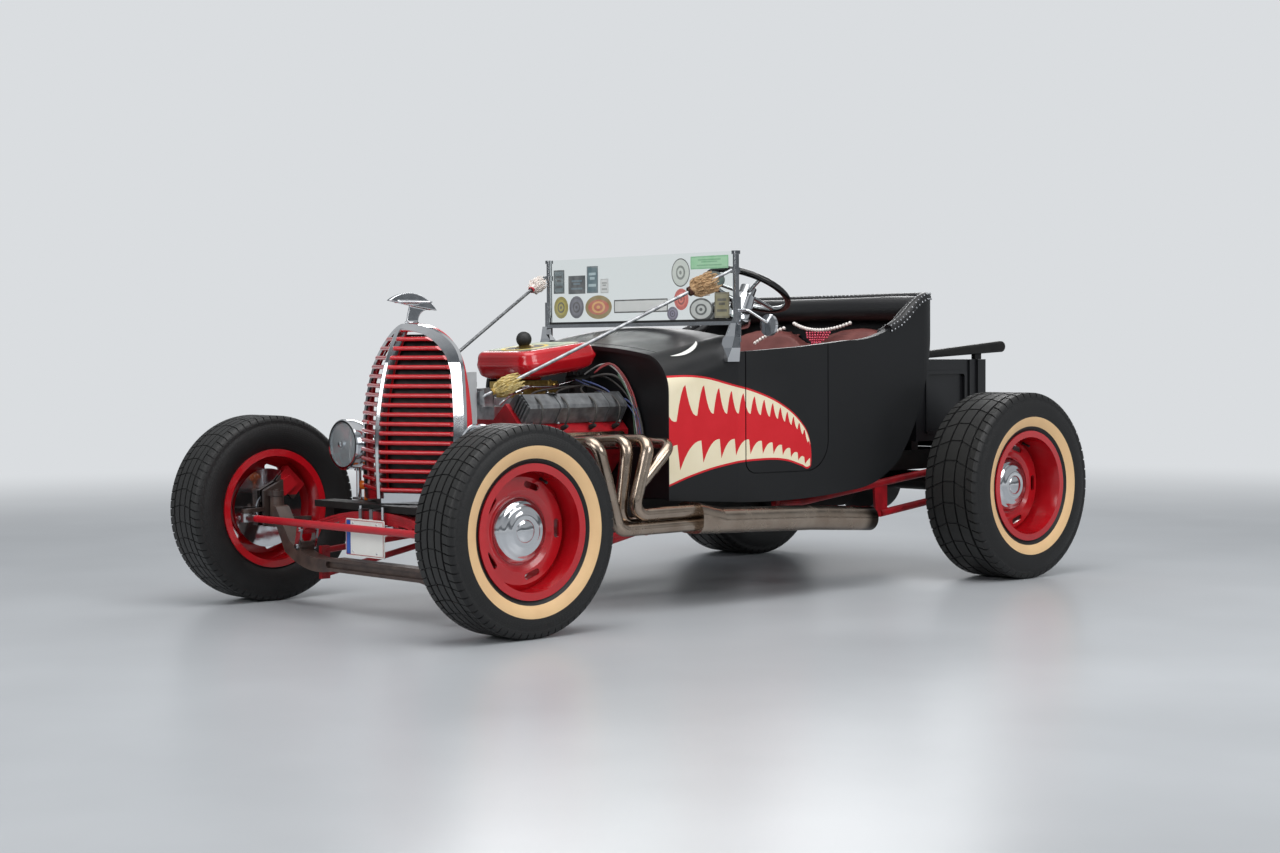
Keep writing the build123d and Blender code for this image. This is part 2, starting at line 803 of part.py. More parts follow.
# Engine: closed block and heads, then the parts that stand open on it
engine_front = 398
engine_back = 868
head_side = 262
block_half = [(0, 200), (100, 200), (112, 290), (150, 330), (152, 420), (226, 500),
              (head_side, 530), (head_side, 600), (165, 696), (100, 640), (0, 640)]
with BuildPart() as engine_block:
    with BuildSketch(across(engine_back)):
        for side in (1, -1):
            Polygon(*[(side * x, z) for x, z in block_half], align=None)
    extrude(amount=engine_back - engine_front)
keep("engine_block", engine_block)


def cover_section(side, grow):
    """Valve cover section seen from the front, its outer faces moved out."""
    corners = [(head_side - 27, 627.1), (head_side - 20 + grow, 628),
               (head_side + 14 + grow, 680), (head_side + 9 + grow, 692 + grow / 2),
               (head_side - 28, 727 + grow), (head_side - 64, 727 + grow),
               (head_side - 96.8, 696.2)]
    return [(side * x, z) for x, z in corners]


cover_front = engine_front + 18
cover_back = engine_back - 18
with BuildPart() as valve_covers:
    for side in (1, -1):
        with BuildSketch(across(cover_back)):
            Polygon(*cover_section(side, 0), align=None)
        extrude(amount=cover_back - cover_front)
        # Two ribs across the side, a lip at the back, and upright fins on the front end
        for y, thick in ((556, 8), (778, 8), (cover_back, 9)):
            with BuildSketch(across(y)):
                Polygon(*cover_section(side, 4), align=None)
            extrude(amount=thick)
        for number in range(5):
            x = head_side + 12 - 11.5 * number
            z = 686 + 9.6 * number
            with BuildSketch(across(cover_front + 2)):
                Polygon(*[(side * u, v) for u, v in
                          [(x, z), (x - 36, z - 50), (x - 41, z - 46), (x - 5, z + 4)]],
                        align=None)
            extrude(amount=9)
keep("valve_covers", valve_covers)

# Intake with the water outlet, and the carburettor with its two bowls
carb_y = 617
carb_low = 712
carb_high = 771
with BuildPart() as intake:
    with BuildSketch(Plane.XY.offset(640 + seat_gap)):
        with Locations((0, 620)):
            Rectangle(2 * 92, 420)
    extrude(amount=44)
    with BuildSketch(Plane.XY.offset(680)):
        with Locations((0, carb_y)):
            Rectangle(150, 190)
    extrude(amount=carb_low - 680 - seat_gap)
    with BuildSketch(Plane.XY.offset(680)):
        with Locations((0, outlet_front + 30)):
            RectangleRounded(64, 60, 12)
    extrude(amount=66)
keep("intake", intake)

with BuildPart() as carburettor:
    with BuildSketch(Plane.XY.offset(carb_low)):
        with Locations((0, carb_y)):
            RectangleRounded(136, 150, 10)
    extrude(amount=16)
    with BuildSketch(Plane.XY.offset(carb_low + 10)):
        with Locations((0, carb_y)):
            Rectangle(112, 120)
    extrude(amount=carb_high - carb_low - 10)
    for y in (carb_y - 84, carb_y + 84):
        with BuildSketch(Plane.XY.offset(carb_low + 16)):
            with Locations((0, y)):
                RectangleRounded(118, 52, 8)
        extrude(amount=40)
keep("carburettor", carburettor)


def cleaner_outline(half, front, back, front_bend, back_bend):
    """Rounded plan of the air cleaner about the carburettor's centre."""
    f = front_bend * (1 - math.sqrt(0.5))
    b = back_bend * (1 - math.sqrt(0.5))
    wide = half + cleaner_flare
    return outline([(front_bend - half, -front), (half - front_bend, -front),
                    ((half - f, f - front), (half, front_bend - front)),
                    (wide, back - back_bend),
                    ((wide - b, back - b), (wide - back_bend, back)),
                    (back_bend - wide, back),
                    ((b - wide, back - b), (-wide, back - back_bend)),
                    (-half, front_bend - front),
                    ((f - half, f - front), (front_bend - half, -front))])


# Air cleaner: lower bowl, upright wall and a flat lid, all tipped nose down
cleaner_flare = 10
cleaner_tilt = math.radians(6.9)
cleaner_base = Plane(origin=(0, carb_y, carb_high + 14), x_dir=(1, 0, 0),
                     z_dir=(0, -math.sin(cleaner_tilt), math.cos(cleaner_tilt)))
cleaner_table = [
    # height, half width, front, back, front bend, back bend
    (0, 118, 84, 164, 40, 48),
    (14, 146, 100, 204, 46, 48),
    (50, 156, 108, 226, 50, 48),
    (54, 156, 108, 226, 50, 48),
    (56, 151, 105, 221, 48, 46),
    (86, 146, 102, 210, 44, 44),
    (97, 134, 90, 192, 36, 40),
]
with BuildPart() as air_cleaner:
    for lower, upper in zip(cleaner_table, cleaner_table[1:]):
        for height, *plan in (lower, upper):
            with BuildSketch(cleaner_base.offset(height)):
                with BuildLine():
                    add(cleaner_outline(*plan))
                make_face()
        loft(ruled=True)
    with BuildSketch(Plane.XY.offset(carb_high + seat_gap)):
        with Locations((0, carb_y)):
            Circle(62)
    extrude(amount=26)
keep("air_cleaner", air_cleaner)

knob_radius = 27
with BuildPart() as air_knob:
    with BuildSketch(cleaner_base.offset(97 + seat_gap)):
        with Locations((0, 16)):
            Circle(14)
    extrude(amount=14)
    with Locations(cleaner_base.from_local_coords((0, 16, 97 + 4 + knob_radius))):
        Sphere(knob_radius)
keep("air_knob", air_knob)

with BuildPart() as engine_front_drive:
    for x, z, radius in ((0, 320, 84), (0, 500, 70), (205, 560, 58)):
        with BuildSketch(across(engine_front - seat_gap)):
            with Locations((x, z)):
                Circle(radius * 0.45)
        extrude(amount=34)
        with BuildSketch(across(engine_front - 30)):
            with Locations((x, z)):
                Circle(radius)
        extrude(amount=26)
keep("engine_front_drive", engine_front_drive)

# Four bent pipes a side into one long pipe under the body edge
pipe_table = [
    # port station, pipe x, top corner station, foot station, run height
    (470, 558, 462, 556, 282),
    (610, 511, 640, 600, 300),
    (678, 558, 694, 616, 328),
]
port_z = 564
exhaust_end = 1796
pipe_radius = 22
tail_pipe_radius = 44.5
header_x = 558
head_face = head_side + seat_gap
collector_start = 900
with BuildPart() as headers:
    for side in (1, -1):
        for port_y, pipe_x, corner_y, foot_y, run_z in pipe_table:
            add(bent_bar(mirrored([(head_face + 5, port_y, port_z), (pipe_x, corner_y, 574),
                                   (pipe_x, foot_y, run_z),
                                   (pipe_x, collector_start + 30, run_z)], side),
                         42, pipe_radius))
        add(bent_bar(mirrored([(head_face + 5, 800, port_z), (header_x, 795, 558),
                               (header_x, 651, 427)], side), 42, pipe_radius - 2))
        with BuildSketch(Plane.YZ.offset(side * (head_face + 5) - 5)):
            with Locations((636, port_z)):
                RectangleRounded(420, 62, 20)
        extrude(amount=10)
        with BuildSketch(across(collector_start)):
            with Locations((side * (header_x - 20), 304)):
                RectangleRounded(134, 108, 40)
        with BuildSketch(across(1012)):
            with Locations((side * header_x, 290)):
                Circle(tail_pipe_radius + 2)
        loft()
        add(bent_bar(mirrored([(header_x, 996, 290), (header_x, 1480, 272),
                               (header_x, exhaust_end, 251)], side), 300, tail_pipe_radius))
        add(bent_bar(mirrored([(header_x, 1660, 260), (header_x, exhaust_end + 20, 249.7)],
                              side), 1, tail_pipe_radius - 3), mode=Mode.SUBTRACT)
keep("headers", headers)

with BuildPart() as transmission:
    for y, radius, amount in ((1000, 124, 1000 - engine_back - seat_gap),
                              (1430, 96, 430), (1560, 52, 130)):
        with BuildSketch(across(y)):
            with Locations((0, 326)):
                Circle(radius)
        extrude(amount=amount)
keep("transmission", transmission)

with BuildPart() as driveshaft:
    add(bent_bar([(0, 1562, 326), (0, 2286, 352)], 1, 36))
keep("driveshaft", driveshaft)

# Rear axle housing, its brackets and the bars and dampers that hold it
housing_end = rear_wheel_x + rotor_offset - 10
with BuildPart() as rear_axle:
    with BuildSketch(Plane.YZ.offset(-housing_end)):
        with Locations((wheelbase, rear_tyre_radius)):
            Circle(38)
    extrude(amount=2 * housing_end)
    for side in (1, -1):
        with BuildSketch(Plane.YZ.offset(side * (housing_end + 6) - 6)):
            with Locations((wheelbase, rear_tyre_radius)):
                Circle(spindle_radius)
        extrude(amount=12)
        with BuildSketch(Plane.YZ.offset(side * 445 - 8)):
            Polygon((2360, 270), (2440, 270), (2514, 312), (2514, 348), (2440, 420),
                    (2360, 420), align=None)
        extrude(amount=16)
    with BuildSketch(across(2290)):
        with Locations((0, rear_tyre_radius)):
            Circle(60)
    with BuildSketch(across(2360)):
        with Locations((0, rear_tyre_radius)):
            Circle(132)
    loft()
    with BuildSketch(across(2480)):
        with Locations((0, rear_tyre_radius)):
            Circle(132)
    extrude(amount=120)
keep("rear_axle", rear_axle)

with BuildPart() as ladder_bars:
    for side in (1, -1):
        add(bent_bar(mirrored([(425, 1448, 320), (425, 1580, 318), (425, 2125, 378),
                               (425, 2357, 400)], side), 80, 14))
        add(bent_bar(mirrored([(425, 2008, 250), (425, 2357, 288)], side), 1, 14))
        with BuildSketch(Plane.YZ.offset(side * 425 - 5)):
            Polygon((1972, 362), (2044, 370), (2044, 272), (2072, 262), (2072, 244), (1980, 236),
                    align=None)
        extrude(amount=10)
        with BuildSketch(Plane.YZ.offset(side * 425 - 12)):
            with Locations((1448, 320), (2372, 402), (2372, 288)):
                Circle(22)
        extrude(amount=24)
        with BuildSketch(Plane.XY.offset(295 + seat_gap)):
            with Locations((side * 425, 1448)):
                Circle(8)
        extrude(amount=50 - 2 * seat_gap)
keep("ladder_bars", ladder_bars)

with BuildPart() as rear_dampers:
    for side in (1, -1):
        add(bent_bar(mirrored([(404, 2496, 322), (400, 2514, 474)], side), 1, 12))
        add(bent_bar(mirrored([(403, 2500, 352), (400, 2512, 448)], side), 1, 30))
        for inner, outer, y, z in ((404, 437 - seat_gap, 2496, 330),
                                   (rail_x + rail_half + seat_gap, 400, 2512, 462)):
            with BuildSketch(Plane.YZ.offset(side * inner)):
                with Locations((y, z)):
                    Circle(9)
            extrude(amount=side * (outer - inner))
keep("rear_dampers", rear_dampers)

# Body tub
door_front = 1195
door_back = 1575
door_low = 440
hinge_x = 524
hinge_y = 1188
hinge_radius = 8
hinge_heights = (500, 760)
dash_z = 830
dash_half = 470


with BuildPart() as tub_shape:
    with BuildSketch(Plane.YZ.offset(-620)):
        with BuildLine():
            ThreePointArc((1160, 341), (1440, 341), (1703, 360))
            ThreePointArc((1703, 360), (1850, 392), (1965, 462))
            ThreePointArc((1965, 462), (2040, 570), (2092, 680))
            ThreePointArc((2092, 680), (2148, 850), (body_back - 4, 1030))
            ThreePointArc((body_back - 4, 1030), (body_back - 11, 1060), (body_back - 42, 1074))
            Polyline((body_back - 42, 1074), (2140, 1072), (2092, 1059), (2045, 1027))
            ThreePointArc((2045, 1027), (1925, 953), (1694, 906))
            Polyline((1694, 906), (1440, 883), (1160, 865), (1160, 341))
        make_face()
    extrude(amount=1240)
    with BuildSketch(Plane.XY.offset(300)):
        with BuildLine():
            for turn in (1, -1):
                ThreePointArc((turn * 506, 1160), (turn * 543, 1365), (turn * 556, 1580))
                Line((turn * 556, 1580), (turn * 560, body_back - 100))
                ThreePointArc((turn * 560, body_back - 100), (turn * 531, body_back - 29),
                              (turn * 460, body_back))
            Line((-506, 1160), (506, 1160))
            Line((-460, body_back), (460, body_back))
        make_face()
    extrude(amount=900, mode=Mode.INTERSECT)

with BuildPart() as tub_cavity:
    with BuildSketch(Plane.YZ.offset(-620)):
        with BuildLine():
            Line((1100, floor_z + floor_thick), (1740, floor_z + floor_thick))
            ThreePointArc((1740, floor_z + floor_thick), (1895, 446), (1990, 550))
            ThreePointArc((1990, 550), (2062, 695), (2118, 870))
            Polyline((2118, 870), (body_back - wall - 4, 1040), (body_back - wall, 1200),
                     (1100, 1200), (1100, floor_z + floor_thick))
        make_face()
    extrude(amount=1240)
    with BuildSketch(Plane.XY.offset(300)):
        with BuildLine():
            for turn in (1, -1):
                Line((turn * (500 - wall), 1100), (turn * (506 - wall), 1160))
                ThreePointArc((turn * (506 - wall), 1160), (turn * (543 - wall), 1365),
                              (turn * (556 - wall), 1580))
                Line((turn * (556 - wall), 1580), (turn * (560 - wall), body_back - 100))
                ThreePointArc((turn * (560 - wall), body_back - 100),
                              (turn * 509.5, body_back - 50.5),
                              (turn * 460, body_back - wall))
            Line((-500 + wall, 1100), (500 - wall, 1100))
            Line((-460, body_back - wall), (460, body_back - wall))
        make_face()
    extrude(amount=1000, mode=Mode.INTERSECT)


def cowl_outline(half, shoulder, corner, top, low, skin):
    """Arched cowl section seen from the front, drawn inward by its skin."""
    side = half - skin
    knee = (half - 29 - skin * 0.8, corner - skin * 0.6)
    brow = (half - 102 - skin * 0.1, top - 33 - skin)
    return outline([(-side, shoulder), (-side, low), (side, low), (side, shoulder),
                    (knee, brow), ((0, top - skin), (-brow[0], brow[1])),
                    ((-knee[0], knee[1]), (-side, shoulder))])


def door_outline(grow):
    """Doorway in side view, made larger all round by one amount."""
    front = door_front - grow
    back = door_back + grow
    low = door_low - grow
    return outline([(front, 1100), (front, door_low + 40),
                    ((door_front + 12 - grow * 0.7, door_low + 12 - grow * 0.7),
                     (door_front + 40, low)),
                    (door_back - 110, low),
                    ((door_back - 32 + grow * 0.7, door_low + 32 - grow * 0.7),
                     (back, door_low + 110)),
                    (back, 1100), (front, 1100)])


with BuildPart() as door_block:
    with BuildSketch(Plane.YZ.offset(-620)):
        with BuildLine():
            add(door_outline(door_gap))
        make_face()
    extrude(amount=160)

with BuildPart() as door_leaf:
    with BuildSketch(Plane.YZ.offset(-620)):
        with BuildLine():
            add(door_outline(0))
        make_face()
    extrude(amount=150)

seam_wide = 4
seam_deep = 6
with BuildPart() as seam_cut:
    with BuildSketch(Plane.YZ.offset(480)):
        with BuildLine():
            add(door_outline(seam_wide / 2))
        make_face()
    extrude(amount=140)
    with BuildSketch(Plane.YZ.offset(480)):
        with BuildLine():
            add(door_outline(-seam_wide / 2))
        make_face()
    extrude(amount=140, mode=Mode.SUBTRACT)
    add(Pos(-seam_deep, 0, 0) * tub_shape.part, mode=Mode.SUBTRACT)

with BuildPart() as tub_shell:
    add(tub_shape.part)
    add(tub_cavity.part, mode=Mode.SUBTRACT)
    # Underside stays open below the floor, inside the side skirts
    with BuildSketch(Plane.XY.offset(280)):
        with Locations((0, 1430)):
            Rectangle(2 * 474, 680)
    extrude(amount=floor_z - 280, mode=Mode.SUBTRACT)

# Space that the cowl takes up, for what is seated on it
with BuildPart() as cowl_room:
    with BuildSketch(across(cowl_front)):
        with BuildLine():
            add(cowl_outline(497, 728, 812, 892, 362, -seat_gap))
        make_face()
    with BuildSketch(across(cowl_rear)):
        with BuildLine():
            add(cowl_outline(507, 812, 900, 958, 341, -seat_gap))
        make_face()
    loft(ruled=True)

with BuildPart() as body_tub:
    # Cowl from the engine bay to the upright glass
    with BuildSketch(across(cowl_front)):
        with BuildLine():
            add(cowl_outline(497, 728, 812, 892, 362, 0))
        make_face()
    with BuildSketch(across(cowl_rear)):
        with BuildLine():
            add(cowl_outline(507, 812, 900, 958, 341, 0))
        make_face()
    loft(ruled=True)
    with BuildSketch(across(cowl_front - 1)):
        with BuildLine():
            add(cowl_outline(497, 728, 812, 892, 300, cowl_skin))
        make_face()
    with BuildSketch(across(cowl_rear + 1)):
        with BuildLine():
            add(cowl_outline(507, 812, 900, 958, 300, cowl_skin))
        make_face()
    loft(ruled=True, mode=Mode.SUBTRACT)
    # Firewall, dash panel and floor
    with BuildSketch(across(886)):
        with BuildLine():
            add(cowl_outline(498, 728, 814, 902, 364, 2))
        make_face()
    extrude(amount=10)
    with BuildSketch(across(cowl_rear)):
        with Locations((0, dash_z)):
            Rectangle(2 * dash_half, 150)
    extrude(amount=10)
    with BuildSketch(Plane.XY.offset(floor_z)):
        with Locations((0, 1024)):
            Rectangle(2 * 486, 290)
    extrude(amount=floor_thick)
    add(tub_shell.part)
    with BuildSketch(Plane.XY.offset(floor_z)):
        with Locations((0, 1390)):
            Rectangle(2 * (tunnel_half + 12), 1020)
    extrude(amount=tunnel_top + 12 - floor_z)
    with BuildSketch(Plane.XY.offset(280)):
        with Locations((0, 1370)):
            Rectangle(2 * tunnel_half, 1036)
    extrude(amount=tunnel_top - 280, mode=Mode.SUBTRACT)
    with BuildSketch(Plane.XY.offset(280)):
        with Locations((0, 1890)):
            Rectangle(2 * tunnel_half, 60)
    extrude(amount=112, mode=Mode.SUBTRACT)
    # Pressed seam of the false door on the left
    add(seam_cut.part, mode=Mode.SUBTRACT)
    # Doorway on the right, with the fixed halves of its hinges
    add(door_block.part, mode=Mode.SUBTRACT)
    for low in hinge_heights:
        for offset in (0, 34):
            with BuildSketch(Plane.XY.offset(low + offset)):
                with Locations((-hinge_x, hinge_y)):
                    Circle(hinge_radius)
                Polygon((-hinge_x - 4, hinge_y), (-hinge_x + 5, hinge_y),
                        (-500, 1166), (-504, 1150), (-hinge_x + 8, 1150),
                        align=None)
            extrude(amount=16)
        with BuildSketch(Plane.XY.offset(low)):
            with Locations((-hinge_x, hinge_y)):
                Circle(4)
        extrude(amount=50)
keep("body_tub", body_tub)

with BuildPart() as door:
    add(tub_shell.part)
    add(door_leaf.part, mode=Mode.INTERSECT)
    for low in hinge_heights:
        with BuildSketch(Plane.XY.offset(low + 17)):
            with Locations((-hinge_x, hinge_y)):
                Circle(hinge_radius)
            Polygon((-hinge_x - 4, hinge_y), (-hinge_x + 4, hinge_y), (-506, door_front + 3),
                    (-510, 1226), (-hinge_x - 4, 1226), align=None)
        extrude(amount=16)
        with BuildSketch(Plane.XY.offset(low + 17)):
            with Locations((-hinge_x, hinge_y)):
                Circle(4 + running_gap)
        extrude(amount=16, mode=Mode.SUBTRACT)
keep("door", door)

# Upright glass: posts, rails, glass, and rods down to the radiator
with BuildPart() as screen_frame:
    for side in (1, -1):
        with BuildSketch(across(1160 - seat_gap)):
            Polygon(*[(side * x, z) for x, z in
                      [(480, 836), (519, 832), (524, 880), (522, 966), (496, 966),
                       (494, 936), (468, 914), (468, 870)]],
                    align=None)
        extrude(amount=58)
    # The foot narrows upward to the post, seen from the side
    with BuildSketch(Plane.YZ.offset(-600)):
        Polygon((1090, 846), (1104, 846), (1118, 880), (1132, 920), (1140, 970), (1090, 970),
                align=None)
    extrude(amount=1200, mode=Mode.SUBTRACT)
    add(cowl_room.part, mode=Mode.SUBTRACT)
    for side in (1, -1):
        with BuildSketch(Plane.XY.offset(900)):
            with Locations((side * (screen_half + 5), screen_y)):
                RectangleRounded(24, 26, 8)
        extrude(amount=158)
        with BuildSketch(Plane.XY.offset(1000)):
            with Locations((side * screen_half, screen_y)):
                RectangleRounded(18, 20, 6)
        extrude(amount=screen_top - 1000)
        # Cap and collar on the post
        for z, high in ((screen_top - 12, 12), (brace_z - 9, 18)):
            with BuildSketch(Plane.XY.offset(z)):
                with Locations((side * screen_half, screen_y)):
                    RectangleRounded(26, 28, 9)
            extrude(amount=high)
    with BuildSketch(Plane.XY.offset(screen_base)):
        with Locations((0, screen_y)):
            Rectangle(2 * screen_half, 20)
    extrude(amount=screen_channel)
keep("screen_frame", screen_frame)

glass_half = screen_half - 9 - seat_gap
with BuildPart() as screen_glass:
    with BuildSketch(Plane.XY.offset(screen_base + screen_channel + seat_gap)):
        with Locations((0, screen_y)):
            Rectangle(2 * glass_half, 6)
    extrude(amount=screen_top - screen_base - screen_channel - 2 * seat_gap)
    # Room for the collar and cap that clasp the glass edge
    for z, high in ((screen_top - 12, 12), (brace_z - 9, 18)):
        with BuildSketch(Plane.XY.offset(z - seat_gap)):
            with Locations((screen_half, screen_y), (-screen_half, screen_y)):
                Rectangle(26 + 2 * seat_gap, 40)
        extrude(amount=high + 2 * seat_gap, mode=Mode.SUBTRACT)
keep("screen_glass", screen_glass)

with BuildPart() as brace_rods:
    for side in (1, -1):
        add(bent_bar(mirrored([(505, 1138, brace_z), (206, 262, 719)], side), 1, 6))
        with BuildSketch(Plane.YZ.offset(side * 505 - 6)):
            with Locations((1140, brace_z)):
                Rectangle(2 * (6 - seat_gap), 14)
        extrude(amount=12)
        with BuildSketch(Plane.YZ.offset(side * 206 - 7)):
            with Locations((262, 719)):
                Rectangle(19.4, 44)
        extrude(amount=14)
keep("brace_rods", brace_rods)

# Bench seat and the padded roll round the cockpit
seat_half = 500
seat_low = tunnel_top + 12 + seat_gap
roll_low = 974
roll_high = 1074
with BuildPart() as seat:
    with BuildSketch(Plane.YZ.offset(-seat_half)):
        with BuildLine():
            Polyline((1560, seat_low), (1960, seat_low), (2170, 700), (2170, roll_low - 2),
                     (2120, roll_low - 2))
            ThreePointArc((2120, roll_low - 2), (2078, 958), (2060, 920))
            Line((2060, 920), (1955, 700))
            ThreePointArc((1955, 700), (1770, 728), (1580, 690))
            ThreePointArc((1580, 690), (1545, 640), (1560, seat_low))
        make_face()
    extrude(amount=2 * seat_half)
    # Two rounded backs side by side
    with BuildSketch(across(2300)):
        with BuildLine():
            add(outline([(-seat_half, 400), (seat_half, 400), (seat_half, 872),
                         ((228, roll_low - 2), (0, 888)), ((-228, roll_low - 2),
                                                           (-seat_half, 872)),
                         (-seat_half, 400)]))
        make_face()
    extrude(amount=900, mode=Mode.INTERSECT)
    add(Pos(0, -seat_gap, 0) * tub_cavity.part, mode=Mode.INTERSECT)
keep("seat", seat)

# Padded roll across the back, with arms that follow the side edges forward
with BuildPart() as cockpit_roll:
    with BuildSketch(Plane.YZ.offset(-520)):
        with BuildLine():
            add(outline([(2190, roll_low), (2110, roll_low), ((2092, 982), (2084, 1002)),
                         ((2080, 1040), (2100, 1066)), ((2112, roll_high), (2130, roll_high)),
                         (2190, roll_high), (2190, roll_low)]))
        make_face()
    extrude(amount=1040)
    for side in (1, -1):
        add(bent_bar(mirrored([(506, 1905, 930), (506, 1985, 962), (506, 2060, 1018),
                               (506, 2120, 1042)], side), 70, 20))
    add(Pos(0, -seat_gap, 0) * tub_cavity.part, mode=Mode.INTERSECT)
keep("cockpit_roll", cockpit_roll)

# Steering column, wheel and the box on the left rail
tilt = math.radians(steer_tilt)
steer_axis = (0, math.sin(tilt), math.cos(tilt))
wheel_plane = Plane(origin=(steer_x, steer_y, steer_z), x_dir=(1, 0, 0), z_dir=steer_axis)
with BuildPart() as steering_wheel:
    with BuildSketch(Plane(origin=(steer_x + wheel_ring_radius, steer_y, steer_z),
                           x_dir=(1, 0, 0), z_dir=wheel_plane.y_dir)):
        Circle(wheel_ring_tube)
    revolve(axis=Axis((steer_x, steer_y, steer_z), steer_axis))
    with BuildSketch(wheel_plane.offset(-38)):
        Circle(30)
    extrude(amount=46)
    for angle in (90, 210, 330):
        turn = math.radians(angle)
        out = wheel_plane.from_local_coords((math.cos(turn) * wheel_ring_radius,
                                             math.sin(turn) * wheel_ring_radius, 0))
        hub = wheel_plane.from_local_coords((0, 0, -18))
        add(bent_bar([tuple(hub), tuple(out)], 1, 7))
    with BuildSketch(wheel_plane.offset(-40)):
        Circle(8 + running_gap)
    extrude(amount=22, mode=Mode.SUBTRACT)
keep("steering_wheel", steering_wheel)

# The column's slanted foot comes down on the floor
column_foot = floor_z + floor_thick + seat_gap + column_radius * math.sin(tilt)
column_length = (steer_z - column_foot) / math.cos(tilt)
with BuildPart() as steering_column:
    with BuildSketch(wheel_plane.offset(-44)):
        Circle(26)
    with BuildSketch(wheel_plane.offset(-150)):
        Circle(column_radius)
    loft()
    with BuildSketch(wheel_plane.offset(-150)):
        Circle(column_radius)
    extrude(amount=150 - column_length)
    with BuildSketch(wheel_plane.offset(-46)):
        Circle(8)
    extrude(amount=26)
keep("steering_column", steering_column)

with BuildPart() as steering_box:
    with BuildSketch(Plane.XY.offset(drag_link_z + eye_half + 22)):
        with Locations((pitman_x, pitman_y + 10)):
            RectangleRounded(90, 100, 20)
    extrude(amount=66)
    with BuildSketch(Plane.XY.offset(drag_link_z + eye_half + 30)):
        with Locations((rail_x - rail_half - seat_gap - 24, pitman_y + 10)):
            Rectangle(48, 80)
    extrude(amount=30)
    with BuildSketch(Plane.XY.offset(drag_link_z + eye_half + 2)):
        with Locations((pitman_x, pitman_y)):
            Circle(14)
    extrude(amount=30)
    add(bent_bar([(pitman_x + 20, 160, 340), (262, 300, 330), (268, 1030, 326)], 60, 9))
keep("steering_box", steering_box)

with BuildPart() as pitman_arm:
    low = drag_link_z + eye_half + 1
    with BuildSketch(Plane.XY.offset(low)):
        with Locations((pitman_x, pitman_y)):
            Circle(24)
        with Locations((pitman_x, pitman_y + arm_reach)):
            Circle(eye_radius - 3)
        with Locations((pitman_x, pitman_y + arm_reach / 2)):
            Rectangle(2 * arm_half, arm_reach)
    extrude(amount=arm_thick)
    with BuildSketch(Plane.XY.offset(low - 1)):
        with Locations((pitman_x, pitman_y)):
            Circle(14 + running_gap)
    extrude(amount=arm_thick + 2, mode=Mode.SUBTRACT)
    with BuildSketch(Plane.XY.offset(drag_link_z - eye_half - 8)):
        with Locations((pitman_x, pitman_y + arm_reach)):
            Circle(pin_radius)
    extrude(amount=2 * eye_half + 8 + arm_thick)
keep("pitman_arm", pitman_arm)

with BuildPart() as mirror:
    add(bent_bar([(screen_half + 17 + seat_gap, screen_y, 1010), (562, screen_y, 1010),
                  (590, 1228, 966)],
                 16, 5))
    with BuildSketch(across(1236)):
        with Locations((594, 958)):
            Circle(38)
    extrude(amount=12)
keep("mirror", mirror)

# Cargo bed on the rear of the frame
bed_floor = 548
gate_hinges = (-260, 260)
gate_pin_y = bed_rear + 9
gate_pin_z = bed_floor + 1
gate_eye = 7.5
gate_pin = 4
with BuildPart() as bed_box:
    with BuildSketch(Plane.XY.offset(bed_bottom)):
        with Locations((0, (bed_front + bed_rear) / 2)):
            Rectangle(2 * bed_half, bed_rear - bed_front)
    extrude(amount=bed_top - bed_bottom)
    with BuildSketch(Plane.XY.offset(bed_floor)):
        with Locations((0, (bed_front + bed_rear) / 2 + bed_wall / 2)):
            Rectangle(2 * (bed_half - bed_wall), bed_rear - bed_front - bed_wall)
    extrude(amount=bed_top - bed_floor, mode=Mode.SUBTRACT)
    # Panel pressed into each side with a raised rim, a rib and a stake at the back
    panel_y = (bed_front + bed_rear) / 2 - 30
    panel_z = (bed_bottom + bed_top) / 2 - 8
    for side in (1, -1):
        with BuildSketch(Plane.YZ.offset(side * (bed_half + 2) - 4)):
            with Locations((panel_y, panel_z)):
                RectangleRounded(250, 246, 16)
        extrude(amount=8)
        with BuildSketch(Plane.YZ.offset(side * (bed_half + 2) - 9)):
            with Locations((panel_y, panel_z)):
                RectangleRounded(222, 218, 12)
        extrude(amount=18, mode=Mode.SUBTRACT)
        for y, wide, out in ((bed_rear - 92, 12, 6), (bed_rear - 24, 48, 8)):
            with BuildSketch(Plane.YZ.offset(side * (bed_half + out / 2) - out / 2 - 1)):
                with Locations((y, (bed_bottom + bed_top) / 2)):
                    Rectangle(wide, bed_top - bed_bottom)
            extrude(amount=out + 2)
    for y in (2290, 2600):
        with BuildSketch(Plane.XY.offset(rail_high + kick_rise + seat_gap)):
            with Locations((0, y)):
                Rectangle(2 * 360, 40)
        extrude(amount=bed_bottom - rail_high - kick_rise)
    # Fixed hinge halves with their pins, behind the floor
    for x in gate_hinges:
        for start in (-38, 22):
            with BuildSketch(Plane.YZ.offset(x + start)):
                with Locations((gate_pin_y, gate_pin_z)):
                    Circle(gate_eye)
                Polygon((bed_rear - 6, 520), (bed_rear + 4, 520), (gate_pin_y + 6, 546),
                        (bed_rear + 2, 547), (bed_rear - 6, 547), align=None)
            extrude(amount=16)
        with BuildSketch(Plane.YZ.offset(x - 24)):
            with Locations((gate_pin_y, gate_pin_z)):
                Circle(gate_pin)
        extrude(amount=48)
keep("bed_box", bed_box)

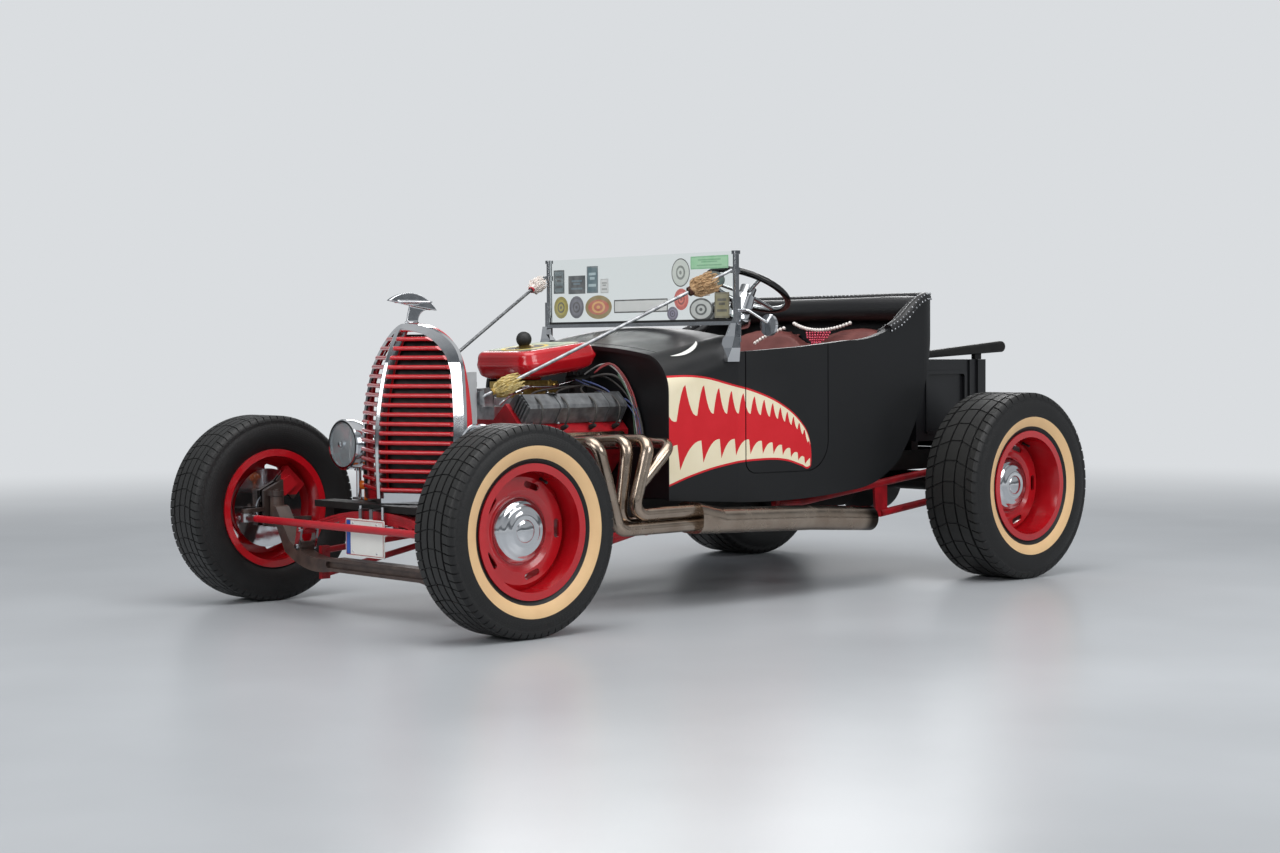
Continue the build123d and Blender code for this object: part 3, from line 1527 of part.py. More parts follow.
rail_nose = tail_station - 25
with BuildPart() as bed_rails:
    for side in (1, -1):
        with BuildSketch(Plane.YZ.offset(side * bed_half - rail_wide / 2)):
            with BuildLine():
                add(outline([(bed_front + 8, bed_top + 4), (rail_nose, bed_top + 28),
                             ((tail_station, bed_top + 50), (rail_nose, bed_top + 72)),
                             (bed_front + 8, bed_top + 30), (bed_front + 8, bed_top + 4)]))
            make_face()
        extrude(amount=rail_wide)
    fillet(bed_rails.edges().filter_by(Axis.X, reverse=True), radius=12)
    for side in (1, -1):
        for y in (bed_front + 34, bed_rear - 34):
            with BuildSketch(Plane.XY.offset(bed_top + seat_gap)):
                with Locations((side * (bed_half - 11), y)):
                    Rectangle(18, 40)
            extrude(amount=30)
keep("bed_rails", bed_rails)

gate_low = bed_floor + 6
with BuildPart() as tailgate:
    with BuildSketch(Plane.XY.offset(gate_low)):
        with Locations((0, bed_rear - bed_wall / 2)):
            Rectangle(2 * (bed_half - bed_wall - door_gap), bed_wall)
    extrude(amount=bed_top - gate_low)
    for x in gate_hinges:
        with BuildSketch(Plane.YZ.offset(x - 19)):
            with Locations((gate_pin_y, gate_pin_z)):
                Circle(gate_eye)
            Polygon((bed_rear - 4, gate_low + 2), (gate_pin_y, gate_low + 2),
                    (bed_rear + 4, gate_low + 12), (bed_rear + 4, 600), (bed_rear - 4, 600),
                    align=None)
            with Locations((gate_pin_y, gate_pin_z)):
                Circle(gate_pin + running_gap, mode=Mode.SUBTRACT)
        extrude(amount=38)
keep("tailgate", tailgate)

with BuildPart() as tail_lamps:
    for side in (1, -1):
        with BuildSketch(across(bed_rear + 26)):
            with Locations((side * 399, 640)):
                Circle(11)
        extrude(amount=26 - seat_gap)
keep("tail_lamps", tail_lamps)

for piece in finished:
    export_step(piece, "parts/" + piece.label + ".step")
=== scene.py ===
import json
import math
import random

import bmesh
import bpy
from mathutils import Matrix, Vector, noise
from mathutils.bvhtree import BVHTree


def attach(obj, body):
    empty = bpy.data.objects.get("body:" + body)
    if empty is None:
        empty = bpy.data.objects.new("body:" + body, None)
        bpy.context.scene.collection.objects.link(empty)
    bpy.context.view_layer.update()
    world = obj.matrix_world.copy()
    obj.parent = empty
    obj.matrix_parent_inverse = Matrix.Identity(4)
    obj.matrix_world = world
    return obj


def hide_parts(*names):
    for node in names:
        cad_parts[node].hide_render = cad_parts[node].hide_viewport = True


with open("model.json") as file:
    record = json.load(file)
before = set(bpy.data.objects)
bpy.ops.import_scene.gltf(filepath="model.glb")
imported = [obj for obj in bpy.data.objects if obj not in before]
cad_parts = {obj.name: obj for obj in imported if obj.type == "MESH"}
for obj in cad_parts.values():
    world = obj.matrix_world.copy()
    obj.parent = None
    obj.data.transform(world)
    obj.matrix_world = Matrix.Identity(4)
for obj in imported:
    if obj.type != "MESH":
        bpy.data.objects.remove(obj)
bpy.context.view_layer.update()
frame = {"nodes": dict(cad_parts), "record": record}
nodes = frame["nodes"]

# The car's front axle lies this far ahead of the origin, in metres
AXLE_Y = -1.227
WHEELBASE = 2.417


def colour(code):
    """sRGB hex to the linear values that shaders take."""
    parts = [int(code[i:i + 2], 16) / 255 for i in (1, 3, 5)]
    return tuple(p / 12.92 if p < 0.04045 else ((p + 0.055) / 1.055) ** 2.4
                 for p in parts) + (1.0,)


def add_node(tree, kind, settings=None, inputs=None):
    """Adds one node, sets its properties, and fills or links its sockets."""
    made = tree.nodes.new(kind)
    for key, value in (settings or {}).items():
        setattr(made, key, value)
    for key, value in (inputs or {}).items():
        if isinstance(value, bpy.types.NodeSocket):
            tree.links.new(value, made.inputs[key])
        else:
            made.inputs[key].default_value = value
    return made


def new_material(name, base, metallic=0.0, roughness=0.5, **sockets):
    """A named material with its plain values set on the shader itself."""
    made = bpy.data.materials.new(name)
    made.use_nodes = True
    shader = made.node_tree.nodes["Principled BSDF"]
    shader.inputs["Base Color"].default_value = colour(base)
    shader.inputs["Metallic"].default_value = metallic
    shader.inputs["Roughness"].default_value = roughness
    for key, value in sockets.items():
        shader.inputs[key.replace("_", " ")].default_value = value
    return made, made.node_tree, shader


def place_of(tree):
    """Object coordinates in metres."""
    return add_node(tree, "ShaderNodeTexCoord").outputs["Object"]


def noise_of(tree, size_mm, detail=4.0):
    """Noise from 0 to 1 with patches of one real size."""
    return add_node(tree, "ShaderNodeTexNoise", None,
                    {"Vector": place_of(tree), "Scale": 1000 / size_mm,
                     "Detail": detail}).outputs["Fac"]


def mottle(tree, shader, dark, light, size_mm, low=0.3, high=0.7):
    """Cloudy variation between two colours, with patches of one real size."""
    ramp = add_node(tree, "ShaderNodeValToRGB", None, {"Fac": noise_of(tree, size_mm)})
    for stop, position, code in zip(ramp.color_ramp.elements, (low, high), (dark, light)):
        stop.position = position
        stop.color = colour(code)
    tree.links.new(ramp.outputs["Color"], shader.inputs["Base Color"])


def grain(tree, shader, size_mm, height_mm, strength=1.0, source=None):
    """Fine bump whose grain and height are given in millimetres."""
    bump = add_node(tree, "ShaderNodeBump", None,
                    {"Height": source or noise_of(tree, size_mm, 3.0),
                     "Distance": height_mm / 1000, "Strength": strength})
    tree.links.new(bump.outputs["Normal"], shader.inputs["Normal"])


def vary_roughness(tree, shader, size_mm, low, high):
    """Patches that shine more and less, as handling and wiping leave them."""
    spread = add_node(tree, "ShaderNodeMapRange", None,
                      {"Value": noise_of(tree, size_mm, 5.0), "From Min": 0.3,
                       "From Max": 0.7, "To Min": low, "To Max": high})
    tree.links.new(spread.outputs["Result"], shader.inputs["Roughness"])


def textured(name, base, metallic, roughness, clouds=None, bumps=None, shine=None, **sockets):
    """A material with cloudy colour, fine bump and uneven shine, where each is given."""
    made, tree, shader = new_material(name, base, metallic, roughness, **sockets)
    for add, values in ((mottle, clouds), (grain, bumps), (vary_roughness, shine)):
        if values:
            add(tree, shader, *values)
    return made


def at(x, y, z):
    """Millimetres left, back and up from the middle of the front axle, to scene metres."""
    return Vector((x / 1000, y / 1000 + AXLE_Y, z / 1000))


def calc(tree, operation, first, second=0.0, third=0.0):
    """One Math node on sockets or numbers."""
    return add_node(tree, "ShaderNodeMath", {"operation": operation},
                    {0: first, 1: second, 2: third}).outputs[0]


def above(tree, value, limit):
    """1 where the value is over the limit, and 0 elsewhere."""
    return calc(tree, "GREATER_THAN", value, limit)


def below(tree, value, limit):
    """1 where the value is under the limit, and 0 elsewhere."""
    return calc(tree, "LESS_THAN", value, limit)


def axes_of(tree):
    """The place on the object as X, Y and Z sockets."""
    return add_node(tree, "ShaderNodeSeparateXYZ", None, {0: place_of(tree)}).outputs


def product(tree, *masks):
    """The masks multiplied together."""
    total = masks[0]
    for mask in masks[1:]:
        total = calc(tree, "MULTIPLY", total, mask)
    return total


def blend_colour(tree, factor, first, second):
    """Mixes two colours, each a hex code or a socket."""
    ends = [colour(end) if isinstance(end, str) else end for end in (first, second)]
    return add_node(tree, "ShaderNodeMix", {"data_type": "RGBA"},
                    {0: factor, 6: ends[0], 7: ends[1]}).outputs[2]


def curve_of(tree, value, points, handle="AUTO"):
    """A Float Curve through (in, out) points that lie between 0 and 1."""
    made = add_node(tree, "ShaderNodeFloatCurve", None, {"Value": value})
    line = made.mapping.curves[0]
    for spot in points[1:-1]:
        line.points.new(*spot)
    line.points[0].location = points[0]
    line.points[-1].location = points[-1]
    for point in line.points:
        point.handle_type = handle
    made.mapping.update()
    return made.outputs[0]


def placed(name, data):
    """An object with its data, linked into the scene."""
    item = bpy.data.objects.new(name, data)
    bpy.context.scene.collection.objects.link(item)
    return item


def mesh_of(name, shape):
    """Turns a bmesh into a mesh and frees it."""
    mesh = bpy.data.meshes.new(name)
    shape.to_mesh(mesh)
    shape.free()
    return mesh


def make(name, shape, material, body="chassis", sharp=35):
    """Turns a bmesh into a piece that rides on a body."""
    bmesh.ops.recalc_face_normals(shape, faces=shape.faces)
    mesh = mesh_of(name, shape)
    mesh.materials.append(material)
    mesh.shade_smooth()
    mesh.set_sharp_from_angle(angle=math.radians(sharp))
    piece = placed(name, mesh)
    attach(piece, body)
    return piece


def tubes(name, lines, radius, material, body="chassis", kind="NURBS",
          rounds=3):
    """Round lines of one radius through lists of points, as one piece."""
    curve = bpy.data.curves.new(name, "CURVE")
    curve.dimensions = "3D"
    curve.bevel_depth = radius / 1000
    curve.bevel_resolution = rounds
    curve.use_fill_caps = True
    curve.resolution_u = 10
    for points in lines:
        spline = curve.splines.new(kind)
        spline.points.add(len(points) - 1)
        for spot, point in zip(spline.points, points):
            spot.co = (*at(*point), 1)
        if kind == "NURBS":
            spline.order_u = 3
            spline.use_endpoint_u = True
    curve.materials.append(material)
    piece = placed(name, curve)
    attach(piece, body)
    return piece


def lathe(shape, profile, origin, axis, steps=32):
    """Spins (out, along) points in millimetres round an axis through the origin."""
    axis = Vector(axis).normalized()
    out = axis.orthogonal().normalized()
    start = at(*origin)
    verts = [shape.verts.new(start + out * (far / 1000) + axis * (along / 1000))
             for far, along in profile]
    edges = [shape.edges.new(pair) for pair in zip(verts, verts[1:])]
    bmesh.ops.spin(shape, geom=verts + edges, cent=start, axis=axis, angle=math.tau,
                   steps=steps, use_merge=True)
    bmesh.ops.remove_doubles(shape, verts=shape.verts, dist=1e-6)


def lathed(name, profile, origin, axis, steps, material, body="chassis",
           sharp=35):
    """One piece, spun round an axis."""
    shape = bmesh.new()
    lathe(shape, profile, origin, axis, steps)
    return make(name, shape, material, body, sharp)


def block(shape, size):
    """A box round the origin, of a size in millimetres. Its points are given back."""
    made = bmesh.ops.create_cube(shape, size=1)["verts"]
    bmesh.ops.scale(shape, vec=Vector(size) / 1000, verts=made)
    return made


def points_among(parts):
    """The points in what an operation gave back."""
    return [part for part in parts if isinstance(part, bmesh.types.BMVert)]


def bead(shape, centre, radius, segments=8, rings=6, stretch=(1, 1, 1)):
    """A small ball or dome, stretched along the car's own directions."""
    made = bmesh.ops.create_uvsphere(shape, u_segments=segments, v_segments=rings,
                                     radius=radius / 1000)["verts"]
    bmesh.ops.scale(shape, vec=stretch, verts=made)
    bmesh.ops.translate(shape, vec=at(*centre), verts=made)


def bolt(shape, centre, axis, across=13, head=6, washer=11):
    """Hexagon head on a washer, pointing along an axis."""
    turn = Vector(axis).normalized().to_track_quat("Z", "Y").to_matrix().to_4x4()
    for sides, radius, low, high in ((16, washer, 0, 1.6), (6, across * 0.577, 1.6, 1.6 + head)):
        top = radius - (1.0 if sides == 6 else 0.3)
        made = bmesh.ops.create_cone(shape, cap_ends=True, segments=sides,
                                     radius1=radius / 1000, radius2=top / 1000,
                                     depth=(high - low) / 1000)["verts"]
        bmesh.ops.translate(shape, vec=(0, 0, (high + low) / 2000), verts=made)
        bmesh.ops.transform(shape, matrix=turn, verts=made)
        bmesh.ops.translate(shape, vec=at(*centre), verts=made)


def surface_of(*names):
    """A search tree over CAD nodes, to seat pieces on their real surface."""
    verts, faces = [], []
    for name in names:
        mesh = nodes[name].data
        start = len(verts)
        verts += [vertex.co.copy() for vertex in mesh.vertices]
        faces += [[start + index for index in face.vertices] for face in mesh.polygons]
    return BVHTree.FromPolygons(verts, faces)


def copy_of(source):
    """A bmesh of a CAD node, with its doubled points joined."""
    shape = bmesh.new()
    shape.from_mesh(nodes[source].data)
    bmesh.ops.remove_doubles(shape, verts=shape.verts, dist=1e-5)
    return shape


def bake(piece):
    """Replaces a piece's mesh by what its modifiers make of it, and drops them."""
    seen = piece.evaluated_get(bpy.context.evaluated_depsgraph_get())
    made = bpy.data.meshes.new_from_object(seen)
    piece.modifiers.clear()
    piece.data = made


def remeshed(name, shape, voxel, factor, rounds):
    """A piece with even faces and rounded folds, made from a bmesh."""
    bmesh.ops.recalc_face_normals(shape, faces=shape.faces)
    piece = placed(name, mesh_of(name, shape))
    remesh = piece.modifiers.new("remesh", "REMESH")
    remesh.mode = "VOXEL"
    remesh.voxel_size = voxel / 1000
    smooth = piece.modifiers.new("smooth", "SMOOTH")
    smooth.factor = factor
    smooth.iterations = rounds
    bake(piece)
    return piece


def arc_points(first, middle, last, count):
    """Points on the arc through three points, after its first."""
    (ax, ay), (bx, by), (cx, cy) = first, middle, last
    twice = 2 * (ax * (by - cy) + bx * (cy - ay) + cx * (ay - by))
    a, b, c = ax * ax + ay * ay, bx * bx + by * by, cx * cx + cy * cy
    mid_x = (a * (by - cy) + b * (cy - ay) + c * (ay - by)) / twice
    mid_y = (a * (cx - bx) + b * (ax - cx) + c * (bx - ax)) / twice
    radius = math.hypot(ax - mid_x, ay - mid_y)
    begin = math.atan2(ay - mid_y, ax - mid_x)
    turn = (math.atan2(cy - mid_y, cx - mid_x) - begin + math.pi) % math.tau - math.pi
    return [(mid_x + radius * math.cos(begin + turn * i / count),
             mid_y + radius * math.sin(begin + turn * i / count))
            for i in range(1, count + 1)]


# Finishes: paints, metals, rubber, glass, plastics and vinyl
satin_black = textured("satin_black_enamel", "#141517", 0.0, 0.34,
                       ("#121315", "#18191c", 260), (3, 0.02), (120, 0.28, 0.42))
chassis_black = textured("chassis_black_enamel", "#0c0c0c", 0.0, 0.5,
                         ("#090909", "#1b1916", 60, 0.35, 0.85), (2, 0.05),
                         Specular_IOR_Level=0.3)
gloss_red = textured("gloss_red_enamel", "#B0101A", 0.0, 0.22, ("#A60D17", "#BC131E", 180),
                     (4, 0.03), Coat_Weight=0.5, Coat_Roughness=0.06)
chassis_red = textured("chassis_red_enamel", "#A81420", 0.0, 0.4, ("#861018", "#B81824", 45),
                       (3, 0.06))
chrome = textured("chrome_plate", "#CFD1D4", 1.0, 0.07, None, (45, 0.25), (30, 0.05, 0.14))
aluminium = textured("cast_aluminium", "#B9BBBE", 1.0, 0.35, ("#8F9194", "#C5C7C9", 25),
                     (1.5, 0.08))
dark_cast = textured("dark_cast_aluminium", "#7C7F82", 0.55, 0.42,
                     ("#5B5D5F", "#7E8082", 30), (1.5, 0.1))
bright_steel = textured("dulled_bright_steel", "#8F9193", 1.0, 0.34,
                        ("#6E7073", "#A9ABAD", 22))
axle_paint = textured("axle_brown_grey_enamel", "#4A3D39", 0.0, 0.4,
                      ("#3B2F2C", "#57473F", 40), (2, 0.08))
black_rubber = textured("moulded_black_rubber", "#161616", 0.0, 0.6, None, (2, 0.08))
clear_glass = textured("clear_glass", "#F4F8F6", 0.0, 0.02, Transmission_Weight=1.0, IOR=1.2)
amber = textured("amber_lens_plastic", "#D9691A", 0.0, 0.18, Transmission_Weight=0.3)
tail_red = textured("red_lens_plastic", "#8C0A10", 0.0, 0.15)
plate_white = textured("stove_enamelled_plate", "#E9E9E4", 0.0, 0.35,
                       ("#DEDED8", "#EDEDE9", 90))
black_vinyl = textured("black_grained_vinyl", "#141416", 0.0, 0.42, None, (2.5, 0.25))
maroon_vinyl = textured("maroon_seat_vinyl", "#7A4642", 0.0, 0.5, ("#6C3B38", "#85504B", 80),
                        (2.5, 0.25))
gold_zinc = textured("gold_passivated_zinc", "#A88A4C", 1.0, 0.32, ("#8E7238", "#C3A767", 14),
                     (1.2, 0.06))

# Bent steel pipe, heat tinted: warm straw and brown, sooty towards its open end
pipe_steel, tree, shader = new_material("heat_tinted_steel", "#A39486", 1.0, 0.2)
sooty = add_node(tree, "ShaderNodeMapRange", {"interpolation_type": "SMOOTHSTEP"},
                 {"Value": axes_of(tree)["Y"], "From Min": at(0, 1715, 0).y,
                  "From Max": at(0, 1770, 0).y}).outputs["Result"]
tinted = blend_colour(tree, noise_of(tree, 70), "#857263", "#B7AA9C")
tree.links.new(blend_colour(tree, sooty, tinted, "#2E2622"), shader.inputs["Base Color"])
vary_roughness(tree, shader, 40, 0.14, 0.3)

# Pressed lamp glass: upright flutes that scatter the reflector's light
fluted_glass, tree, shader = new_material("fluted_lamp_glass", "#E3E8EA", 0.0, 0.12,
                                          Transmission_Weight=0.85, IOR=1.3)
flutes = add_node(tree, "ShaderNodeTexWave", {"bands_direction": "X"},
                  {"Vector": place_of(tree), "Scale": 1000 / 7 / 20})
grain(tree, shader, 1, 1.6, 0.8, flutes.outputs["Fac"])

finish_of_slot = {
    "gold_passivated_zinc": gold_zinc,
    "satin_black_paint": satin_black,
    "red_paint": gloss_red,
    "red_powder_coat": chassis_red,
    "chrome": chrome,
    "polished_aluminium": aluminium,
    "cast_iron": chassis_black,
    "dark_cast_aluminium": dark_cast,
    "brown_grey_paint": axle_paint,
    "weathered_steel": pipe_steel,
    "tyre_rubber": black_rubber,
    "black_rubber": black_rubber,
    "lens_glass": clear_glass,
    "amber_plastic": amber,
    "red_plastic": tail_red,
    "blank_plate": plate_white,
    "black_vinyl": black_vinyl,
    "maroon_vinyl": maroon_vinyl,
}
slot_of_node = {part["node"]: part["material_slot"] for part in frame["record"]["subparts"]}
for name, item in nodes.items():
    item.data.materials.clear()
    item.data.materials.append(finish_of_slot[slot_of_node[name]])
for name in ("frame", "rear_axle", "bed_rails"):
    nodes[name].data.materials[0] = chassis_black
nodes["brace_rods"].data.materials[0] = bright_steel
nodes["headlamp_lenses"].data.materials[0] = fluted_glass


def two_finishes(node, name, plain, other, rule, metallic=0.0, roughness=0.4, dark=None):
    """Gives a node one finish, and another where a rule on the place holds."""
    made, tree, shader = new_material(name, plain, 0.0, roughness)
    mask = rule(tree, axes_of(tree))
    base = blend_colour(tree, noise_of(tree, 40), dark or plain, plain)
    tree.links.new(blend_colour(tree, mask, base, other), shader.inputs["Base Color"])
    if metallic:
        tree.links.new(calc(tree, "MULTIPLY", mask, metallic), shader.inputs["Metallic"])
    grain(tree, shader, 2, 0.06)
    nodes[node].data.materials[0] = made


def caliper_zone(tree, place):
    """Behind the kingpin and above the spindle."""
    return product(tree, above(tree, place["Y"], at(0, 46, 0).y), above(tree, place["Z"], 0.368))


def end_zone(tree, place):
    """The rod's two ends."""
    return above(tree, calc(tree, "ABSOLUTE", place["X"]), 0.556)


def hanger_zone(tree, place):
    """Over the top edge of the plate."""
    return above(tree, place["Z"], 0.3255)


def spoke_zone(tree, place):
    """Within the steering wheel's rim."""
    reach = add_node(tree, "ShaderNodeVectorMath", {"operation": "DISTANCE"},
                     {0: place_of(tree), 1: at(270, 1457, 1093)})
    return below(tree, reach.outputs["Value"], 0.148)


def core_zone(tree, place):
    """The radiator's front, between its side tanks."""
    return product(tree, below(tree, place["Y"], at(0, 184, 0).y),
                   below(tree, calc(tree, "ABSOLUTE", place["X"]), 0.3))


# Calipers, rod ends, plate hanger, wheel spokes and radiator core in their own finish
for name in ("knuckle_left", "knuckle_right"):
    two_finishes(name, f"{name}_enamel", "#453934", "#B3131E", caliper_zone, dark="#352B28")
two_finishes("tie_rod", "tie_rod_enamel", "#B81824", "#A9ABAD", end_zone, 1.0, 0.32, "#9C1420")
two_finishes("number_plate", "plate_and_hanger", "#E4E4DF", "#8B8D90", hanger_zone, 1.0, 0.32,
             "#DADAD4")
two_finishes("steering_wheel", "bakelite_and_steel", "#0f0f10", "#A2A4A6", spoke_zone, 1.0,
             0.22, "#080808")
two_finishes("radiator", "radiator_metal", "#B2B4B6", "#101112", core_zone, 0.0, 0.45,
             "#9C9EA0")

# Camera where the photograph was taken from
yaw, pitch, roll = 0.8279, 0.036, -0.0058
forward = Vector((-math.sin(yaw) * math.cos(pitch), math.cos(yaw) * math.cos(pitch),
                  -math.sin(pitch)))
right = Vector((math.cos(yaw), math.sin(yaw), 0.0))
up = right.cross(forward)
level_right = right * math.cos(roll) + up * math.sin(roll)
level_up = up * math.cos(roll) - right * math.sin(roll)
camera_data = bpy.data.cameras.new("photo_camera")
camera_data.sensor_width = 36
camera_data.lens = 59.15
camera_data.clip_end = 100
camera = placed("photo_camera", camera_data)
turned = Matrix((level_right, level_up, -forward)).transposed().to_4x4()
turned.translation = Vector((5.6762, -4.0485 + AXLE_Y, 0.8716))
camera.matrix_world = turned
bpy.context.scene.camera = camera

# Body paint: satin black, with a toothed mouth and a closed eye brushed on each side
body_paint, tree, shader = new_material("hand_painted_satin_black", "#0e0f11", 0.0, 0.4,
                                        Specular_IOR_Level=0.34)
spot = axes_of(tree)
facing = add_node(tree, "ShaderNodeSeparateXYZ", None,
                  {0: add_node(tree, "ShaderNodeTexCoord").outputs["Normal"]})
across_x = calc(tree, "ABSOLUTE", spot["X"])
outward = above(tree, calc(tree, "MULTIPLY", facing.outputs["X"],
                           calc(tree, "SIGN", spot["X"])), 0.3)
mouth_front, mouth_back, mouth_low, mouth_high = 842, 1488, 380, 450
along = calc(tree, "DIVIDE", calc(tree, "SUBTRACT", spot["Y"],
                                  mouth_front / 1000 + AXLE_Y),
             (mouth_back - mouth_front) / 1000)
height = calc(tree, "DIVIDE", calc(tree, "SUBTRACT", spot["Z"], mouth_low / 1000),
              mouth_high / 1000)
lip_table = [
    # station, upper lip, lower lip
    (842, 786, 410), (985, 784, 449), (1121, 758, 473), (1240, 728, 484),
    (1361, 676, 480), (1440, 616, 458), (1472, 572, 448), (1488, 500, 476),
]
upper, lower = [curve_of(tree, along, [((row[0] - mouth_front) / (mouth_back - mouth_front),
                                        (row[side] - mouth_low) / mouth_high)
                                       for row in lip_table]) for side in (1, 2)]


def teeth(lip, count, quicken, offset, gum, gum_fade, tall, tall_fade, tip, fall, way):
    """The edge of one row of curved teeth, smaller and closer towards the corner."""
    phase = calc(tree, "ADD", calc(tree, "MULTIPLY", calc(tree, "SUBTRACT", calc(
        tree, "EXPONENT", calc(tree, "MULTIPLY", along, quicken)), 1.0), count), offset)
    samples = [(0.1 * i, 1 - (1 - min(0.1 * i / tip, 1)) ** 2.3 if 0.1 * i <= tip
                else ((1 - 0.1 * i) / (1 - tip)) ** fall) for i in range(11)]
    shape = curve_of(tree, calc(tree, "FRACT", phase), samples, "VECTOR")
    root = calc(tree, "MULTIPLY_ADD", along, -gum * gum_fade / mouth_high, gum / mouth_high)
    reach = calc(tree, "MULTIPLY_ADD", along, -tall * tall_fade / mouth_high,
                 tall / mouth_high)
    return calc(tree, "MULTIPLY_ADD", calc(tree, "MULTIPLY_ADD", reach, shape, root), way, lip)


upper_teeth = teeth(upper, 3.3, 1.66, 0.30, 36, 0.70, 128, 0.84, 0.6, 1.8, -1.0)
lower_teeth = teeth(lower, 2.9, 1.60, 0.62, 40, 0.70, 96, 0.80, 0.9, 1.0, 1.0)
inside = product(tree, below(tree, height, upper),
                 above(tree, height, lower),
                 above(tree, along, 0.0),
                 below(tree, along, 1.0), outward)
throat = product(tree, below(tree, height, upper_teeth),
                 above(tree, height, lower_teeth))
lip_line = 7 / mouth_high
lips = calc(tree, "MAXIMUM",
            above(tree, height, calc(tree, "SUBTRACT", upper, lip_line)),
            below(tree, height, calc(tree, "ADD", lower, lip_line)))
lips = calc(tree, "MAXIMUM", lips, above(tree, along, 0.99))
mirrored_place = add_node(tree, "ShaderNodeCombineXYZ", None,
                          {0: across_x, 1: spot["Y"], 2: spot["Z"]})
reach_out, reach_in = [add_node(tree, "ShaderNodeVectorMath", {"operation": "DISTANCE"},
                                {0: mirrored_place.outputs[0], 1: at(*centre)}).outputs["Value"]
                       for centre in ((338.7, 952.7, 909.4), (258, 920.6, 940.6))]
eye = product(tree, below(tree, reach_out, 0.128),
              above(tree, reach_in, 0.204))
brushed = noise_of(tree, 70)
enamel = blend_colour(tree, noise_of(tree, 260), "#0c0d0f", "#131416")
cream = blend_colour(tree, brushed, "#DCCFAE", "#E8DEC3")
red = blend_colour(tree, brushed, "#BE0F1B", "#CB1C28")
art = blend_colour(tree, calc(tree, "MAXIMUM", throat, lips), cream, red)
skin = blend_colour(tree, inside, enamel, art)
skin = blend_colour(tree, eye, skin, "#E6E5E0")
tree.links.new(skin, shader.inputs["Base Color"])
vary_roughness(tree, shader, 120, 0.36, 0.48)
grain(tree, shader, 3, 0.02)


def tyre_rubber(name, axle_y, axle_z, radius, white_from, white_to):
    """Rubber with an aged pale ring on its outer side and fine moulded ribs."""
    made, tree, shader = new_material(name, "#131314", 0.0, 0.5, Specular_IOR_Level=0.4)
    spot = axes_of(tree)
    back = calc(tree, "SUBTRACT", spot["Y"], axle_y / 1000 + AXLE_Y)
    rise = calc(tree, "SUBTRACT", spot["Z"], axle_z / 1000)
    far = calc(tree, "SQRT", calc(tree, "ADD", product(tree, back, back),
                                  product(tree, rise, rise)))
    outer = above(tree, calc(tree, "ABSOLUTE", spot["X"]), 0.72)
    ring = product(tree, above(tree, far, white_from / 1000),
                   below(tree, far, white_to / 1000), outer)
    rubber = blend_colour(tree, noise_of(tree, 45), "#0f0f10", "#1a1a1a")
    dusty = blend_colour(tree, above(tree, far, (radius - 1) / 1000),
                         rubber, "#1f1f1e")
    aged = blend_colour(tree, noise_of(tree, 60, 6.0), "#D9B183", "#E9C592")
    tree.links.new(blend_colour(tree, ring, dusty, aged), shader.inputs["Base Color"])
    turn = calc(tree, "ARCTAN2", rise, back)
    ribs = above(tree, calc(tree, "SINE", calc(tree, "MULTIPLY", turn, 150.0)), 0.0)
    band = product(tree, above(tree, far, (radius - 48) / 1000),
                   below(tree, far, (radius - 32) / 1000))
    rings = above(tree, calc(tree, "SINE", calc(tree, "MULTIPLY", far, 900.0)), 0.86)
    relief = calc(tree, "ADD", product(tree, ribs, band),
                  calc(tree, "ADD", product(tree, rings, 0.5), noise_of(tree, 2)))
    grain(tree, shader, 1, 0.9, 0.5, relief)
    return made


front_tyre_rubber = tyre_rubber("pale_ring_front_tyre", 0, 326, 326, 223, 262)
rear_tyre_rubber = tyre_rubber("pale_ring_rear_tyre", WHEELBASE * 1000, 352.6, 352.6, 225, 261)
for name in ("body_tub", "door"):
    nodes[name].data.materials[0] = body_paint
nodes["steering_column"].data.materials[0] = chrome


def smoothed(name, source, voxel, rounds, material):
    """A copy of a CAD piece whose hard folds are rounded as the pressed sheet's are."""
    piece = remeshed(name, copy_of(source), voxel, 0.5, rounds)
    piece.data.materials.append(material)
    piece.data.shade_smooth()
    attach(piece, "chassis")
    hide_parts(source)


smoothed("pressed_air_cleaner", "air_cleaner", 2.6, 70, gloss_red)
smoothed("cast_ornament", "ornament", 1.3, 9, chrome)

# Woven wire behind the grille bars, in two leaves that meet on the nose
black_wire, tree, shader = new_material("black_woven_wire", "#0d0c0d", 0.2, 0.5)
weave = add_node(tree, "ShaderNodeTexWave", {"bands_direction": "DIAGONAL"},
                 {"Vector": place_of(tree), "Scale": 1000 / 6 / 20})
tree.links.new(blend_colour(tree, weave.outputs["Fac"], "#060606", "#1d1718"),
               shader.inputs["Base Color"])
grain(tree, shader, 1, 1.2, 0.8, weave.outputs["Fac"])
nose_arcs = [
    # up to this height, depth of the arc's centre, its radius, its height
    (837, 1065.1, 1067.6, 538.7),
    (9999, 1087.3, 1120.2, 439.6),
]
chin_top, chin_slope = 505, 0.046
leaf_slope, set_back = 0.487, 36
wire = bmesh.new()
rows = [384 + i * 18.2 for i in range(31)]
for side in (1, -1):
    line = []
    for height in rows:
        rise = max(0.0, (height - 640) / 300)
        line.append(wire.verts.new(at(side * 226 * (1 - rise ** 2.2) ** (1 / 2.2), 0, height)))
    edges = [wire.edges.new(pair) for pair in zip(line, line[1:])]
    for vertex in points_among(bmesh.ops.extrude_edge_only(wire, edges=edges)["geom"]):
        vertex.co.x = 0
